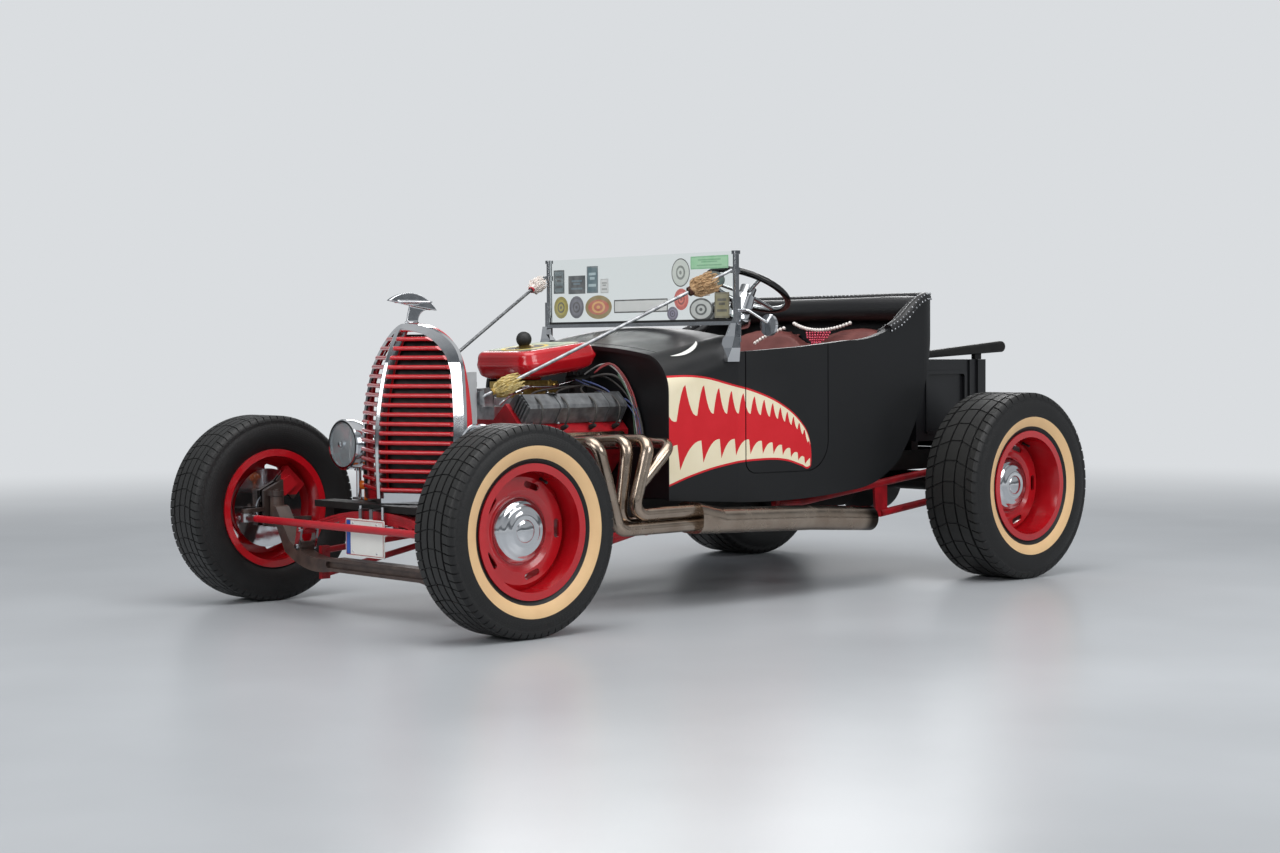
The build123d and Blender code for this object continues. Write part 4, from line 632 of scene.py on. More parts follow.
for vertex in wire.verts:
    height = vertex.co.z * 1000
    if height < chin_top:
        nose = (chin_top - height) * chin_slope - 2
    else:
        deep, radius, middle = next(row[1:] for row in nose_arcs if height < row[0])
        nose = deep - math.sqrt(radius ** 2 - (height - middle) ** 2)
    vertex.co.y = at(0, nose + set_back, 0).y + leaf_slope * abs(vertex.co.x)
bmesh.ops.remove_doubles(wire, verts=wire.verts, dist=1e-5)
bmesh.ops.recalc_face_normals(wire, faces=wire.faces)
bmesh.ops.solidify(wire, geom=wire.faces[:], thickness=0.002)
make("grille_wire", wire, black_wire)

# Polished bell round the top of the steering column
tip = math.radians(28)
lathed("column_bell", [(26, -24), (33, -26), (36, -34), (47, -110), (52, -128), (50, -136),
                       (30, -150), (24, -152)],
       (270, 1457, 1093), (0, math.sin(tip), math.cos(tip)), 40, chrome)

# Tyres with cut treads: circumferential grooves, then slots across each rib
tread_table = [
    # end, station, height, radius, half width, bead, centre x, pitches, slant, slot share,
    # grooves as (place, width)
    ("front", 0, 326, 326, 96.5, 75.7, 708.5, 72, 0.8, 0.13,
     ((-50, 6), (-17, 5), (17, 5), (50, 6))),
    ("rear", 2417, 352.6, 352.6, 125.5, 103.7, 709.2, 56, 1.3, 0.15,
     ((-76, 8), (-27, 6), (27, 6), (76, 8))),
]
for (end, station, height, radius, half, rim, wheel_x, pitches, slant, share,
        grooves) in tread_table:
    wall = [(rim, 191.3), (rim, 210)]
    wall += arc_points((rim, 210), (half - 1.5, 256), (half - 6, radius - 26), 12)
    wall += arc_points((half - 6, radius - 26), (half - 10, radius - 6), (half - 18, radius), 6)
    cuts = [(place + shift, radius - deep) for place, wide in reversed(grooves)
            for shift, deep in ((wide / 2 + 1, 0), (wide / 2, 7), (-wide / 2, 7),
                                (-wide / 2 - 1, 0))]
    section = wall + cuts + [(-out, up) for out, up in reversed(wall)]
    for side, word in ((1, "left"), (-1, "right")):
        centre = at(side * wheel_x, station, height)
        shape = bmesh.new()
        corners = [shape.verts.new(centre + Vector((side * out / 1000, up / 1000, 0)))
                   for out, up in section]
        rings = [shape.edges.new((a, b)) for a, b in zip(corners, corners[1:] + corners[:1])]
        bmesh.ops.spin(shape, geom=corners + rings, cent=centre, axis=(1, 0, 0),
                       angle=math.tau, steps=pitches * 4, use_merge=True)
        bmesh.ops.remove_doubles(shape, verts=shape.verts, dist=1e-6)
        pitch = math.tau / pitches
        for vertex in shape.verts:
            out = side * (vertex.co.x - centre.x) * 1000
            back, rise = vertex.co.y - centre.y, vertex.co.z - centre.z
            far = math.hypot(back, rise) * 1000
            if far < radius - 70:
                continue
            column = round(math.atan2(rise, back) / pitch * 4)
            row = column % 4
            turn = pitch * (column // 4 + (0, 0.02, share, share + 0.02)[row])
            turn += pitch * slant * abs(out) / half * min((far - radius + 70) / 20, 1)
            if row in (1, 2):
                outer_rib = abs(out) > grooves[3][0]
                deep = 5.5 if outer_rib else (3.5 if column // 4 % 2 else 0.0)
                deep *= max(0.0, min((far - radius + 24) / 10, 1))
                far -= deep if far > radius - 7 or outer_rib else 0.0
            vertex.co.y = centre.y + far / 1000 * math.cos(turn)
            vertex.co.z = centre.z + far / 1000 * math.sin(turn)
        rubber = front_tyre_rubber if end == "front" else rear_tyre_rubber
        tyre = make(f"cut_tyre_{end}_{word}", shape, rubber, f"wheel_{end}_{word}",
                    30)
        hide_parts(f"tyre_{end}_{word}")

        # Cap with stepped rings, laid over the plain one, and a valve in the rim
        disc = 12 if end == "front" else 6
        dome = [(102.6, disc + 5)]
        dome += arc_points((102.6, disc + 5), (71.6, disc + 24.8), (35.4, disc + 31), 14)
        stepped = []
        for out, along in dome:
            stepped.append((out, along + 0.6))
            for ring, raised in ((92, 1.6), (74, 1.4), (50, 1.2)):
                if abs(out - ring) < 3:
                    stepped[-1] = (out, along + 0.6 + raised)
        stepped += [(35, disc + 32.4), (31, disc + 34.6), (24, disc + 36.2), (12, disc + 38.4),
                    (0, disc + 39)]
        lathed(f"cap_face_{end}_{word}", [(104, disc + 0.5), (104, disc + 4)] + stepped,
               (side * wheel_x, station, height), (side, 0, 0), 64, chrome,
               f"wheel_{end}_{word}", 50)
        lean = math.radians(62)
        lathed(f"valve_{end}_{word}", [(0, 0), (5.5, 0), (5.5, 6), (4, 9), (4, 26), (5, 27),
                                       (5, 36), (3.6, 38), (0, 38)],
               (side * (wheel_x + disc + 6), station + 176 * math.cos(lean),
                height + 176 * math.sin(lean)),
               (side, -0.35 * math.cos(lean), -0.35 * math.sin(lean)), 14, black_rubber,
               f"wheel_{end}_{word}")


# Seat and roll: the plain solids are shrunk, remeshed and blown up as cloth
def core_of(name, source, shrink, voxel, cut=None):
    """A remeshed copy of a CAD solid, drawn in a little, cut by a plane first if given."""
    shape = copy_of(source)
    if cut:
        point, normal = cut
        bmesh.ops.bisect_plane(shape, geom=shape.verts[:] + shape.edges[:] + shape.faces[:],
                               plane_co=at(*point), plane_no=normal, clear_outer=True)
        bmesh.ops.holes_fill(shape, edges=[e for e in shape.edges if e.is_boundary])
    piece = remeshed(name, shape, voxel, 0.6, 6)
    for vertex in piece.data.vertices:
        vertex.co -= vertex.normal * shrink / 1000
    return piece


def puff(jobs, frames=18):
    """Blows up several pieces at once; no point moves further than its cap."""
    before = {}
    for piece, pressure, _ in jobs:
        before[piece.name] = [vertex.co.copy() for vertex in piece.data.vertices]
        cloth = piece.modifiers.new("cloth", "CLOTH")
        cloth.settings.use_pressure = True
        cloth.settings.uniform_pressure_force = pressure
        cloth.settings.effector_weights.gravity = 0.0
        cloth.settings.quality = 4
        cloth.settings.tension_stiffness = 20
        cloth.settings.compression_stiffness = 20
    for step in range(1, frames + 1):
        bpy.context.scene.frame_set(step)
    for piece, _, cap in jobs:
        bake(piece)
        for vertex, start in zip(piece.data.vertices, before[piece.name]):
            shift = vertex.co - start
            if shift.length > cap / 1000:
                vertex.co = start + shift.normalized() * cap / 1000
    bpy.context.scene.frame_set(1)


def finish_pad(piece, material, slot, fill, *replaced):
    """One subdivision and its covering."""
    soften = piece.modifiers.new("soften", "SUBSURF")
    soften.levels = 1
    bake(piece)
    piece.data.materials.clear()
    piece.data.materials.append(material)
    piece.data.shade_smooth()
    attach(piece, "chassis")
    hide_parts(*replaced)


backrest = core_of("seat_back_pad", "seat", 9, 12, ((0, 1962, 600), (0, -1, -0.12)))
bench = core_of("seat_bench_pad", "seat", 9, 12, ((0, 1958, 600), (0, 1, 0.12)))
roll = core_of("cockpit_roll_pad", "cockpit_roll", 5, 8)
puff([(backrest, 4.0, 14), (bench, 4.0, 16), (roll, 3.0, 7)])
# Sewn channels and the line between the two places, pressed in after the cloth
for pad, lines, deep in ((backrest, (0,), 9), (bench, (-332, -166, 0, 166, 332), 6)):
    for vertex in pad.data.vertices:
        near = min(abs(vertex.co.x * 1000 - line) for line in lines)
        front = vertex.normal.y < -0.3 or vertex.normal.z > 0.4
        if front and near < 26:
            vertex.co -= vertex.normal * deep / 1000 * math.exp(-(near / 9) ** 2)
finish_pad(backrest, maroon_vinyl, "maroon_vinyl", 0.7, "seat")
finish_pad(bench, maroon_vinyl, "maroon_vinyl", 0.6, "seat")
finish_pad(roll, black_vinyl, "black_vinyl", 0.8, "cockpit_roll")

# Padded and studded edging that wraps over the top of the tub's rear wall
edge_path = [(545, 1918, 946), (545, 1973, 967), (545, 2019, 998), (545, 2059, 1032),
             (545, 2092, 1054), (542, 2126, 1066), (530, 2158, 1068), (502, 2180, 1069),
             (455, 2188, 1069), (220, 2188, 1069), (0, 2188, 1069)]
edge_path += [(-x, y, z) for x, y, z in reversed(edge_path[:-1])]
edging = tubes("studded_edging", [edge_path], 19, black_vinyl, rounds=5)
studs = bmesh.new()
route = []
for (ax, ay, az), (bx, by, bz) in zip(edge_path, edge_path[1:]):
    count = max(1, round(math.dist((ax, ay, az), (bx, by, bz)) / 21))
    route += [(ax + (bx - ax) * i / count, ay + (by - ay) * i / count,
               az + (bz - az) * i / count) for i in range(count)]
for x, y, z in route:
    out = Vector((x, max(0.0, y - 2080) * 1.6, 0)).normalized()
    for lean in (-0.32, 0.75):
        for way in (1, -1):
            bead(studs, (x + way * out.x * 19.5 * math.cos(lean),
                         y + way * out.y * 19.5 * math.cos(lean),
                         z + 19.5 * math.sin(lean)), 4.2)
dull_nickel = textured("dull_nickel_studs", "#8E9093", 1.0, 0.38, ("#6F7174", "#A2A4A7", 20))
make("edging_studs", studs, dull_nickel)

# Strings of beads hung between the backrest humps
pearls, pinks = bmesh.new(), bmesh.new()
for start, low, stop in (((-62, 2056, 976), (85, 2040, 948), (232, 2056, 974)),
                         ((412, 2050, 950), (436, 2046, 957), (470, 2042, 968)),
                         ((-215, 1990, 900), (-160, 2010, 932), (-95, 2030, 958))):
    span = math.dist(start, stop)
    count = round(span * 1.03 / 14.5)
    for i in range(count + 1):
        t = i / count
        spot = [a * (1 - t) ** 2 + 2 * (2 * b - (a + c) / 2) * t * (1 - t) + c * t * t
                for a, b, c in zip(start, low, stop)]
        bead(pearls, spot, 7.4, 12, 8)
for row in range(9):
    x = 25 + row * 15
    drop = 4 - abs(row - 4) * 0.8
    for i in range(round(drop * 2) + 1):
        bead(pinks, (x + (4 - row) * i * 1.1, 2036 - i * 3.0, 938 - i * 9.5), 4.6)
pearl_plastic = textured("pearl_beads", "#E9E2DC", 0.0, 0.25, ("#DDD4CE", "#F3EEE9", 12))
pink_plastic = textured("pink_beads", "#D84A63", 0.0, 0.25, ("#C23350", "#E8657A", 12))
make("pearl_strings", pearls, pearl_plastic)
make("pink_strings", pinks, pink_plastic)

# Plain coloured film shapes on the front of the glass
sticker_table = [
    # kind, x from, x to, z from, z to, colour, inner colour, device colour, border mm
    ("box", -474, -411, 1090, 1180, "#26373C", "#4F646A", "#16242A", 6),
    ("box", -388, -290, 1087, 1156, "#1D2C33", "#16262E", "#4A6470", 5),
    ("box", -282, -218, 1088, 1189, "#4E6067", "#2B5560", "#9DB4B8", 6),
    ("box", -205, -160, 1086, 1140, "#B9BDBB", "#CFD2D0", "#8E9391", 4),
    ("disc", -472, -390, 996, 1079, "#8C8012", "#A89A1C", "#3F3B0E", 12),
    ("disc", -383, -300, 995, 1079, "#474855", "#62636F", "#2A2B34", 10),
    ("disc", -291, -142, 991, 1079, "#8A7637", "#B9573A", "#D9A65A", 16),
    ("box", -130, 161, 1011, 1060, "#161E1D", "#D2D5D2", "#D2D5D2", 5),
    ("disc", 194, 268, 1016, 1093, "#BF3A2A", "#D6624F", "#8E2418", 12),
    ("disc", 157, 214, 979, 1029, "#565269", "#7A768D", "#312E40", 8),
    ("disc", 273, 391, 976, 1057, "#1E2726", "#B9BDB9", "#2E3837", 7),
    ("disc", 181, 275, 1099, 1201, "#333B36", "#C3CAC2", "#6C756E", 4),
    ("box", 279, 470, 1159, 1205, "#6DB27F", "#8CC697", "#5DA371", 5),
    ("disc", 330, 452, 1085, 1150, "#1E3A35", "#2F5049", "#16292A", 8),
    ("box", 400, 474, 985, 1075, "#6B6440", "#8A8257", "#3E3B22", 7),
]


def sticker_paper(number, code):
    """Printed vinyl film: one colour, faded in patches, with a soft shine."""
    made, tree, shader = new_material(f"printed_film_{number}", code, 0.0, 0.4)
    faded = blend_colour(tree, 0.28, code, "#F2F2EE")
    tree.links.new(blend_colour(tree, noise_of(tree, 30, 6.0), code, faded),
                   shader.inputs["Base Color"])
    return made


def film_piece(name, kind, centre_x, centre_z, half_x, half_z, depth, code):
    """One thin layer of film, oval or square cut, standing just off the glass."""
    film = bmesh.new()
    made = bmesh.ops.create_circle(film, cap_ends=True, segments=64, radius=1)["verts"]
    for vertex in made:
        if kind == "box":
            swell = max(abs(vertex.co.x), abs(vertex.co.y))
            vertex.co /= swell ** 0.97
        vertex.co = Vector((vertex.co.x * half_x / 1000, 0, vertex.co.y * half_z / 1000))
    bmesh.ops.translate(film, verts=film.verts, vec=at(centre_x, depth, centre_z))
    solid = bmesh.ops.extrude_face_region(film, geom=film.faces[:])["geom"]
    bmesh.ops.translate(film, vec=(0, -0.0002, 0), verts=points_among(solid))
    make(name, film, sticker_paper(name, code))


for number, (kind, x_from, x_to, z_from, z_to, *tones, border) in enumerate(sticker_table):
    middle_x, middle_z = (x_from + x_to) / 2, (z_from + z_to) / 2
    half_x, half_z = (x_to - x_from) / 2, (z_to - z_from) / 2
    film_piece(f"sticker_{number}", kind, middle_x, middle_z, half_x, half_z, 1156.7, tones[0])
    film_piece(f"sticker_{number}_field", kind, middle_x, middle_z, half_x - border,
               half_z - border, 1156.45, tones[1])
    # A plain device on each: rings on the round ones, bars on the square ones
    if kind == "disc":
        for ring, (share, tone) in enumerate(((0.5, tones[2]), (0.34, tones[1]),
                                              (0.14, tones[2]))):
            film_piece(f"sticker_{number}_ring_{ring}", kind, middle_x, middle_z,
                       half_x * share, half_z * share, 1156.2 - ring * 0.25, tone)
    else:
        for bar, (place, wide) in enumerate(((0.42, 0.6), (0.1, 0.42), (-0.42, 0.66))):
            film_piece(f"sticker_{number}_bar_{bar}", kind, middle_x,
                       middle_z + half_z * place, half_x * wide, half_z * 0.1, 1156.2,
                       tones[2])

# Black rubber under the glass on its chromed rail
gasket = bmesh.new()
bmesh.ops.translate(gasket, vec=at(0, 1160, 977.4), verts=block(gasket, (984, 23.5, 8)))
bmesh.ops.bevel(gasket, geom=gasket.edges[:], offset=0.0015, segments=2, affect="EDGES")
make("glass_gasket", gasket, black_rubber)

# Plain blue strip down one side of the blank plate, a pressed rim and four screws
blue_enamel = textured("blue_plate_enamel", "#1F4FA8", 0.0, 0.35, ("#1B4795", "#2659B5", 60))
strip = bmesh.new()
bmesh.ops.translate(strip, vec=at(-93, -63.3, 262), verts=block(strip, (24, 0.8, 112)))
make("plate_strip", strip, blue_enamel)
rim_line = [(-103, 205), (103, 205), (103, 319), (-103, 319)]
tubes("plate_rim", [[(x, -63.2, z) for x, z in rim_line + rim_line[:1]]], 1.3, chassis_red,
      kind="POLY")
screws = bmesh.new()
for x, z in ((-66, 309), (66, 309), (-66, 215), (66, 215)):
    bead(screws, (x, -63.2, z), 4.0, 12, 6, (1, 0.5, 1))
make("plate_screws", screws, chrome)

# Bolts: header flanges, valve covers, and four more on top between the covers
heads = bmesh.new()
for side in (1, -1):
    for y in (436, 520, 560, 644, 728, 760, 836):
        bolt(heads, (side * 272.6, y, 564 + (14 if y in (520, 728) else -14)), (side, 0, 0))
    for y in (440, 556, 700, 834):
        bolt(heads, (side * 254, y, 628.5), (side * 0.4, 0, 1), 10, 5, 8)
for x in (-55, 55):
    for y in (560, 674):
        bolt(heads, (x, y, 728.2), (0, 0, 1), 11, 6, 9)
make("bolt_heads", heads, chrome)

# Oil filler hole and its rim in the left valve cover, a breather in the right
lathed("filler_hole", [(0, 0.2), (15, 0.2), (15.5, 1.5), (19, 2.4), (21, 1.2), (21, 0)],
       (228, 548, 727.2), (0, 0, 1), 28, black_rubber)
lathed("oil_breather", [(13, 0), (13, 16), (30, 18), (31, 22), (31, 36), (28, 42), (12, 46),
                        (0, 47)], (-228, 548, 727.2), (0, 0, 1), 36, chrome)

# Ribs of the top hose and its two clips
ring_lines = bmesh.new()
hose_route = [(-90, 268, 768), (-90, 278, 768), (-90, 288, 767), (-88, 297, 765),
              (-82, 305, 761), (-74, 311, 756), (-66, 316, 751), (-57, 320, 746),
              (-48, 324, 742), (-39, 328, 737), (-30, 332, 733), (-21, 337, 728),
              (-12, 343, 724), (-5, 351, 720), (-1, 360, 718), (0, 370, 718), (0, 380, 718)]
for before, spot, after in zip(hose_route, hose_route[1:], hose_route[2:]):
    lathe(ring_lines, [(21, -4.2), (23.5, -2.6), (25.4, 0), (23.5, 2.6), (21, 4.2)], spot,
          Vector(after) - Vector(before), 24)
make("hose_ribs", ring_lines, black_rubber)
clips = bmesh.new()
for spot, axis in (((-90, 260, 768), (0, 1, 0)), ((0, 394, 718), (0, 1, 0))):
    lathe(clips, [(22.4, -5), (24.4, -4.6), (24.4, 4.6), (22.4, 5)], spot, axis, 28)
make("hose_clips", clips, chrome)

# Leads and loom behind the engine, and leads to the plugs under the covers
lead_colours = {"red": "#B3202C", "blue": "#2B4C9A", "pale": "#C9C9C6", "green": "#2C6B46",
                "black": "#17171a"}
lead_table = [
    ("red", 3.0, [(150, 820, 800), (190, 846, 838), (238, 862, 800), (288, 864, 736),
                  (322, 862, 662), (336, 860, 560)]),
    ("red", 2.4, [(140, 820, 795), (180, 840, 842), (226, 858, 806), (276, 862, 742),
                  (310, 862, 668), (326, 860, 570)]),
    ("pale", 2.6, [(110, 800, 790), (160, 834, 836), (214, 856, 812), (262, 862, 750),
                   (300, 862, 676), (318, 860, 575)]),
    ("blue", 3.2, [(110, 790, 770), (150, 838, 752), (210, 858, 712), (280, 862, 700),
                   (330, 862, 640), (344, 860, 560)]),
    ("blue", 2.6, [(96, 770, 772), (142, 820, 742), (206, 850, 704), (272, 860, 690),
                   (320, 862, 625), (334, 860, 550)]),
    ("green", 2.6, [(230, 850, 790), (280, 862, 720), (298, 862, 650), (308, 860, 560)]),
    ("black", 4.5, [(130, 815, 780), (186, 850, 800), (250, 864, 760), (308, 864, 690),
                    (346, 862, 600), (352, 860, 530)]),
    ("black", 3.4, [(60, 800, 770), (120, 846, 790), (196, 862, 770), (300, 864, 690),
                    (330, 860, 600)]),
]
for y in (452, 566, 692, 798):
    for side in (1, -1):
        lead_table.append(("black", 3.6, [(side * 120, 790, 752), (side * 170, y + 20, 740),
                                          (side * 292, y + 6, 700), (side * 296, y, 640),
                                          (side * 268, y, 612)]))
for number, (tone, radius, points) in enumerate(lead_table):
    jacket, tree, shader = new_material(f"pvc_lead_{number}", lead_colours[tone], 0.0, 0.4)
    tree.links.new(blend_colour(tree, noise_of(tree, 18), lead_colours[tone], "#4a4743"),
                   shader.inputs["Base Color"])
    tubes(f"lead_{number}", [points], radius, jacket, rounds=2)
boots = bmesh.new()
for y in (452, 566, 692, 798):
    for side in (1, -1):
        lathe(boots, [(0, 0), (8, 0), (9, 5), (7, 22), (5, 30), (0, 31)],
              (side * 262, y, 611), (side, 0, 0.3), 14)
make("plug_boots", boots, black_rubber)

# Distributor with its cap behind the carburettor
distributor = bmesh.new()
lathe(distributor, [(26, -60), (30, -30), (34, -28), (34, 0), (46, 4), (47, 26), (38, 34), (30, 36),
              (0, 37)], (60, 812, 752), (0, 0, 1), 36)
for turn in range(8):
    lathe(distributor, [(6, 0), (6, 14), (4, 16), (0, 16)],
          (60 + 34 * math.cos(turn * math.pi / 4), 812 + 34 * math.sin(turn * math.pi / 4), 784),
          (0, 0, 1), 10)
make("distributor", distributor, black_rubber)

# Carburettor fittings: fuel line, unions, linkage and a polished filter
fittings = bmesh.new()
for y in (533, 701):
    for x in (-40, 40):
        bolt(fittings, (x, y, 768.3), (0, 0, 1), 8, 4, 6)
    lathe(fittings, [(0, 0), (8, 0), (8, 8), (5, 9), (5, 20), (0, 20)], (59, y, 752), (1, 0, 0), 12)
lathe(fittings, [(0, 0), (4, 0), (4, 22), (11, 22), (11, 26), (0, 26)], (57, 617, 742),
      (1, 0, 0), 14)
make("carburettor_fittings", fittings, gold_zinc)
tubes("fuel_line", [[(84, 533, 752), (108, 533, 752), (112, 617, 748), (108, 701, 752),
                     (84, 701, 752)], [(112, 560, 750), (120, 470, 740), (96, 430, 690)]],
      4, chrome)
tubes("throttle_rod", [[(74, 640, 744), (90, 760, 760), (96, 868, 800)]], 3, chrome)
lathed("fuel_filter", [(0, 0), (22, 0), (24, 2), (24, 52), (20, 58), (8, 60), (0, 61)],
       (118, 452, 727), (0, 0, 1), 32, chrome)

# Polished lid on the air cleaner, seated on its top face, and the knob's foot
lid = copy_of("air_cleaner")
tilt = math.radians(6.9)
lid_up = Vector((0, -math.sin(tilt), math.cos(tilt)))
low_side = at(0, 617, 785) + lid_up * 0.0965
bmesh.ops.delete(lid, context="FACES", geom=[
    face for face in lid.faces
    if face.normal.dot(lid_up) < 0.99 or (face.calc_center_median() - low_side).dot(lid_up) < 0])
middle = at(0, 668, 0)
# The lid's pale grey-green colour, lighter and darker in patches, is painted reflection standing in
# for the shine of its polished metal
lid_painted_reflection = textured("lid_enamel_painted_reflection", "#8E9A82", 0.2, 0.5, ("#6F7B66", "#B9BFA6", 70),
                      Specular_IOR_Level=0.2)
for vertex in lid.verts:
    vertex.co.x *= 0.86
    vertex.co.y = middle.y + (vertex.co.y - middle.y) * 0.86
for vertex in lid.verts:
    vertex.co -= lid_up * ((vertex.co - low_side).dot(lid_up) - 0.0006)
risen = bmesh.ops.extrude_face_region(lid, geom=lid.faces[:])["geom"]
bmesh.ops.translate(lid, vec=lid_up * 0.0022, verts=points_among(risen))
make("cleaner_lid", lid, lid_painted_reflection)
knob_spot = (0, 617 + 16 * math.cos(tilt) - 97 * math.sin(tilt),
             785 + 97 * math.cos(tilt) + 16 * math.sin(tilt))
for word, far, high, code in (("yellow", 84, 2.7, "#C9A50E"), ("black", 70, 3.1, "#141414")):
    worn = "#2a2723" if word == "black" else "#D9BA2C"
    lathed(f"lid_ring_{word}", [(far, 1.5), (far - 0.6, high), (0, high)], knob_spot, lid_up, 56,
           textured(f"{word}_lid_enamel", code, 0.0, 0.5, (code, worn, 50),
                    Specular_IOR_Level=0.2))
lathed("knob_foot", [(34, 2.4), (34, 4.5), (24, 8), (17, 14), (15, 14)], knob_spot, lid_up, 36,
       gold_zinc)


# Fibre tufts: a bound knot on the rod, with hair combed up along the rod from it
def tuft(name, side, share, spread, reach, count, seed, dark, light, cord_tones):
    """Soft fibres that leave a bound knot, run along the rod and flare out."""
    chance = random.Random(seed)
    low, high = Vector((206 * side, 262, 719)), Vector((505 * side, 1138, 1150))
    rod = (high - low).normalized()
    centre = low.lerp(high, share)
    lines = []
    for _ in range(count):
        lean = Vector([chance.gauss(0, 1) for _ in range(3)])
        lean = (lean - rod * lean.dot(rod)).normalized()
        start = chance.uniform(-0.42, 0.1) * reach
        long = reach * chance.uniform(0.45, 0.75)
        root = centre + rod * start + lean * 7
        belly = root + rod * long * 0.35 + lean * spread * chance.uniform(0.6, 0.95)
        tip = root + rod * long + lean * spread * chance.uniform(0.3, 0.8)
        tip.z -= spread * 0.35 * chance.random()
        curl = Vector([chance.uniform(-5, 5) for _ in range(3)])
        lines.append([tuple(root), tuple(belly), tuple((belly + tip) / 2 + curl), tuple(tip)])
    fibre = textured(f"dyed_fibre_{name}", dark, 0.0, 0.85, (dark, light, 9))
    tubes(f"tuft_{name}", lines, 1.4, fibre, rounds=1)
    knot = bmesh.new()
    belly_line = [(0, -0.5), (0.42, -0.46), (0.6, -0.3), (0.66, -0.1), (0.78, 0.1), (0.7, 0.3),
                  (0.4, 0.46), (0, 0.52)]
    lathe(knot, [(far * spread, along * reach * 0.9) for far, along in belly_line],
          tuple(centre), rod, 28)
    bmesh.ops.subdivide_edges(knot, edges=knot.edges[:], cuts=1, use_grid_fill=True)
    for vertex in knot.verts:
        out = vertex.co - at(*centre)
        out -= rod * out.dot(rod)
        vertex.co += out * 0.3 * noise.noise(vertex.co * 70 + Vector((seed, 0, 0)))
    make(f"tuft_core_{name}", knot, fibre)
    binding = bmesh.new()
    for turn in range(6):
        lathe(binding, [(spread * 0.42, -2), (spread * 0.5, 0), (spread * 0.42, 2),
                        (spread * 0.42, -2)],
              tuple(centre - rod * (reach * 0.47 - turn * 4)), rod, 24)
    thread = textured(f"waxed_thread_{name}", cord_tones[0], 0.0, 0.7, (*cord_tones, 8))
    make(f"tuft_binding_{name}", binding, thread)


tuft("tan", 1, 0.865, 34, 92, 420, 3, "#8A6A48", "#C7A57C", ("#3A2018", "#5E382B"))
tuft("yellow", 1, 0.085, 24, 88, 340, 5, "#B09448", "#DCCB95", ("#A9873A", "#C9AC62"))
tuft("pale", -1, 0.925, 24, 72, 280, 7, "#C9B7AE", "#ECE8E2", ("#A01A26", "#C2303B"))

# Reflector bulbs in the lamps, and pedals, dials and levers inside
bulbs = bmesh.new()
for side in (1, -1):
    lathe(bulbs, [(0, 0), (9, 0), (9, 10), (13, 18), (10, 28), (0, 32)],
          (side * 372, 124, 553), (0, -1, 0), 20)
make("lamp_bulbs", bulbs, chrome)
dial_table = [
    # place across, radius, lean of the needle
    (150, 30, 0.5), (270, 52, -0.8), (380, 30, 0.2), (40, 30, -0.3), (-40, 30, 0.9),
]
dials, dial_rims = bmesh.new(), bmesh.new()
for x, size, _ in dial_table:
    lathe(dials, [(0, 1.6), (size, 1.6), (size, 0)], (x, 1287, 826), (0, 1, 0), 40)
    lathe(dial_rims, [(size, 0), (size, 4), (size + 4, 5), (size + 6, 2), (size + 6, 0)],
          (x, 1286.6, 826), (0, 1, 0), 40)
dial_face = textured("printed_dial_face", "#E4DFCC", 0.0, 0.3, ("#DCD6C0", "#ECE8D8", 30))
make("dial_faces", dials, dial_face)
make("dial_rims", dial_rims, chrome)
needles = bmesh.new()
for x, size, lean in dial_table:
    far = size * 0.86
    for turn in range(9):
        angle = math.radians(-135 + turn * 33.75)
        made = block(needles, (1.1, 0.6, size * 0.16))
        bmesh.ops.rotate(needles, verts=made, cent=(0, 0, 0),
                         matrix=Matrix.Rotation(angle, 3, "Y"))
        bmesh.ops.translate(needles, verts=made, vec=at(
            x + math.sin(angle) * far, 1289, 826 + math.cos(angle) * far))
    made = block(needles, (2.2, 0.8, size * 0.8))
    bmesh.ops.translate(needles, vec=(0, 0, size * 0.3 / 1000), verts=made)
    bmesh.ops.rotate(needles, verts=made, cent=(0, 0, 0), matrix=Matrix.Rotation(lean, 3, "Y"))
    bmesh.ops.translate(needles, verts=made, vec=at(x, 1289.6, 826))
make("dial_needles", needles, black_rubber)

# Gear lever on the tunnel, and three pedals hung from the firewall
tub = surface_of("body_tub")
floor_hit = tub.ray_cast(at(0, 1400, 850), Vector((0, 0, -1)))[0]
foot_z = floor_hit.z * 1000 if floor_hit else 430
lathed("gear_boot", [(46, -1), (46, 3), (38, 6), (34, 14), (27, 18), (25, 28), (17, 32),
                     (15, 44), (9, 48), (9, 52)],
       (0, 1400, foot_z), (0, 0, 1), 36, black_rubber)
tubes("gear_lever", [[(0, 1400, foot_z + 20), (0, 1404, foot_z + 150), (6, 1420, foot_z + 240),
                      (10, 1428, foot_z + 300)]], 6, chrome)
grip = bmesh.new()
bead(grip, (10, 1429, foot_z + 312), 22, 28, 18)
make("gear_grip", grip, black_rubber)
for number, (x, wide, tall) in enumerate(((190, 28, 24), (275, 28, 24), (352, 20, 44))):
    tubes(f"pedal_arm_{number}", [[(x, 886, 700), (x, 980, 712), (x, 1052, 640),
                                   (x, 1078, 572)]], 6, chassis_black)
    pad = bmesh.new()
    block(pad, (wide * 2, 10, tall * 2))
    bmesh.ops.bevel(pad, geom=pad.edges[:], offset=0.004, segments=3, affect="EDGES",
                    profile=0.5, material=-1)
    for rib in range(5):
        made = block(pad, (wide * 1.7, 4, 4))
        bmesh.ops.translate(pad, vec=(0, 0.006, (rib - 2) * tall * 0.36 / 1000), verts=made)
    bmesh.ops.rotate(pad, verts=pad.verts, cent=(0, 0, 0), matrix=Matrix.Rotation(0.5, 3, "X"))
    bmesh.ops.translate(pad, verts=pad.verts, vec=at(x, 1084, 566))
    make(f"pedal_pad_{number}", pad, black_rubber)

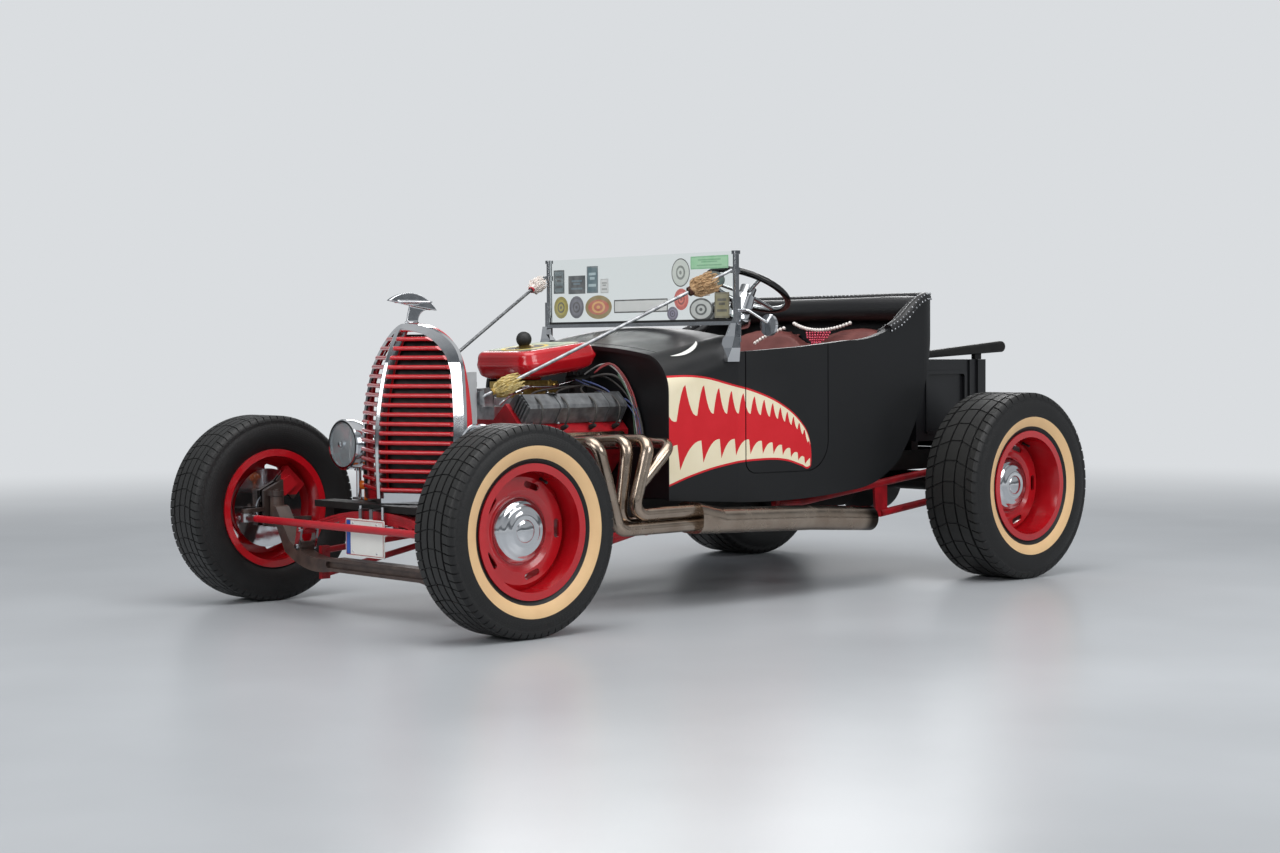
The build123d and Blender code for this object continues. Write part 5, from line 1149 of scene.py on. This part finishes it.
# Pale floor that fades into the background
floor_paint, tree, shader = new_material("pale_floor_paint", "#AEB1B4", 0.0, 0.3,
                                         Specular_IOR_Level=0.32)
mottle(tree, shader, "#A9ACAF", "#B3B6B9", 900)
floor_spot = add_node(tree, "ShaderNodeVectorMath", {"operation": "LENGTH"},
                      {0: place_of(tree)}).outputs["Value"]
far_off = add_node(tree, "ShaderNodeMapRange", {"interpolation_type": "SMOOTHSTEP"},
                   {"Value": floor_spot, "From Min": 3.2, "From Max": 9.0}).outputs["Result"]
wall_glow = add_node(tree, "ShaderNodeEmission", None, {"Color": colour("#DADDE0")}).outputs[0]
faded = add_node(tree, "ShaderNodeMixShader", None,
                 {0: far_off, 1: shader.outputs[0], 2: wall_glow})
tree.links.new(faded.outputs[0], tree.nodes["Material Output"].inputs["Surface"])
shape = bmesh.new()
bmesh.ops.create_grid(shape, x_segments=1, y_segments=1, size=30)
floor = placed("floor", mesh_of("floor", shape))
floor.data.materials.append(floor_paint)

# A world that lights softly, and shows itself to the camera, in glass and in metal
world = bpy.data.worlds.new("studio")
bpy.context.scene.world = world
world.use_nodes = True
sky = world.node_tree
background = sky.nodes["Background"]
background.inputs["Color"].default_value = colour("#DDE2E8")
background.inputs["Strength"].default_value = 0.55
seen = add_node(sky, "ShaderNodeBackground", None,
                {"Color": colour("#DADDE0"), "Strength": 1.0})
# Metal sees a room: a bright ceiling, paler walls with a dark ledge low on them
sky_place = add_node(sky, "ShaderNodeSeparateXYZ", None,
                     {0: add_node(sky, "ShaderNodeTexCoord").outputs["Generated"]})
room = add_node(sky, "ShaderNodeValToRGB", None,
                {"Fac": calc(sky, "MULTIPLY_ADD", sky_place.outputs["Z"], 0.5, 0.5)})
for position, code in ((0.44, "#6E7276"), (0.5, "#8E9296"), (0.53, "#565A5E"), (0.56, "#C9CCCF"),
                       (0.72, "#B4B8BC"), (0.78, "#70757A"), (0.84, "#E4E6E8"), (1.0, "#F2F2F2")):
    stop = room.color_ramp.elements.new(position)
    stop.color = colour(code)
room.color_ramp.elements.remove(room.color_ramp.elements[0])
mirrored = add_node(sky, "ShaderNodeBackground", None,
                    {"Color": room.outputs["Color"], "Strength": 0.8})
path = add_node(sky, "ShaderNodeLightPath")
choose = add_node(sky, "ShaderNodeMixShader", None,
                  {0: path.outputs["Is Glossy Ray"], 1: background.outputs[0],
                   2: mirrored.outputs[0]})
straight = calc(sky, "MAXIMUM", path.outputs["Is Camera Ray"], path.outputs["Is Transmission Ray"])
shown = add_node(sky, "ShaderNodeMixShader", None,
                 {0: straight, 1: choose.outputs[0], 2: seen.outputs[0]})
sky.links.new(shown.outputs[0], sky.nodes["World Output"].inputs["Surface"])

lamp_table = [
    # name, place, aimed at, width, height, watts
    ("ceiling_softbox", (1.5, -1.0, 5.0), (0, 0, 0.5), 5.0, 4.0, 225),
    ("left_softbox", (5.5, 0.5, 3.2), (0.3, 0.3, 0.6), 3.5, 2.0, 105),
    ("front_softbox", (1.0, -6.5, 2.6), (0, -0.8, 0.6), 3.5, 2.0, 105),
    ("rear_softbox", (-4.5, 4.5, 3.5), (0, 0.5, 0.8), 4.0, 2.0, 130),
]
for name, place, aim, width, height, watts in lamp_table:
    lamp_data = bpy.data.lights.new(name, "AREA")
    lamp_data.shape = "RECTANGLE"
    lamp_data.size = width
    lamp_data.size_y = height
    lamp_data.energy = watts
    lamp = placed(name, lamp_data)
    lamp.location = place
    lamp.rotation_euler = (Vector(aim) - Vector(place)).to_track_quat("-Z", "Y").to_euler()
bpy.context.scene.view_settings.view_transform = "Standard"

bpy.context.view_layer.update()
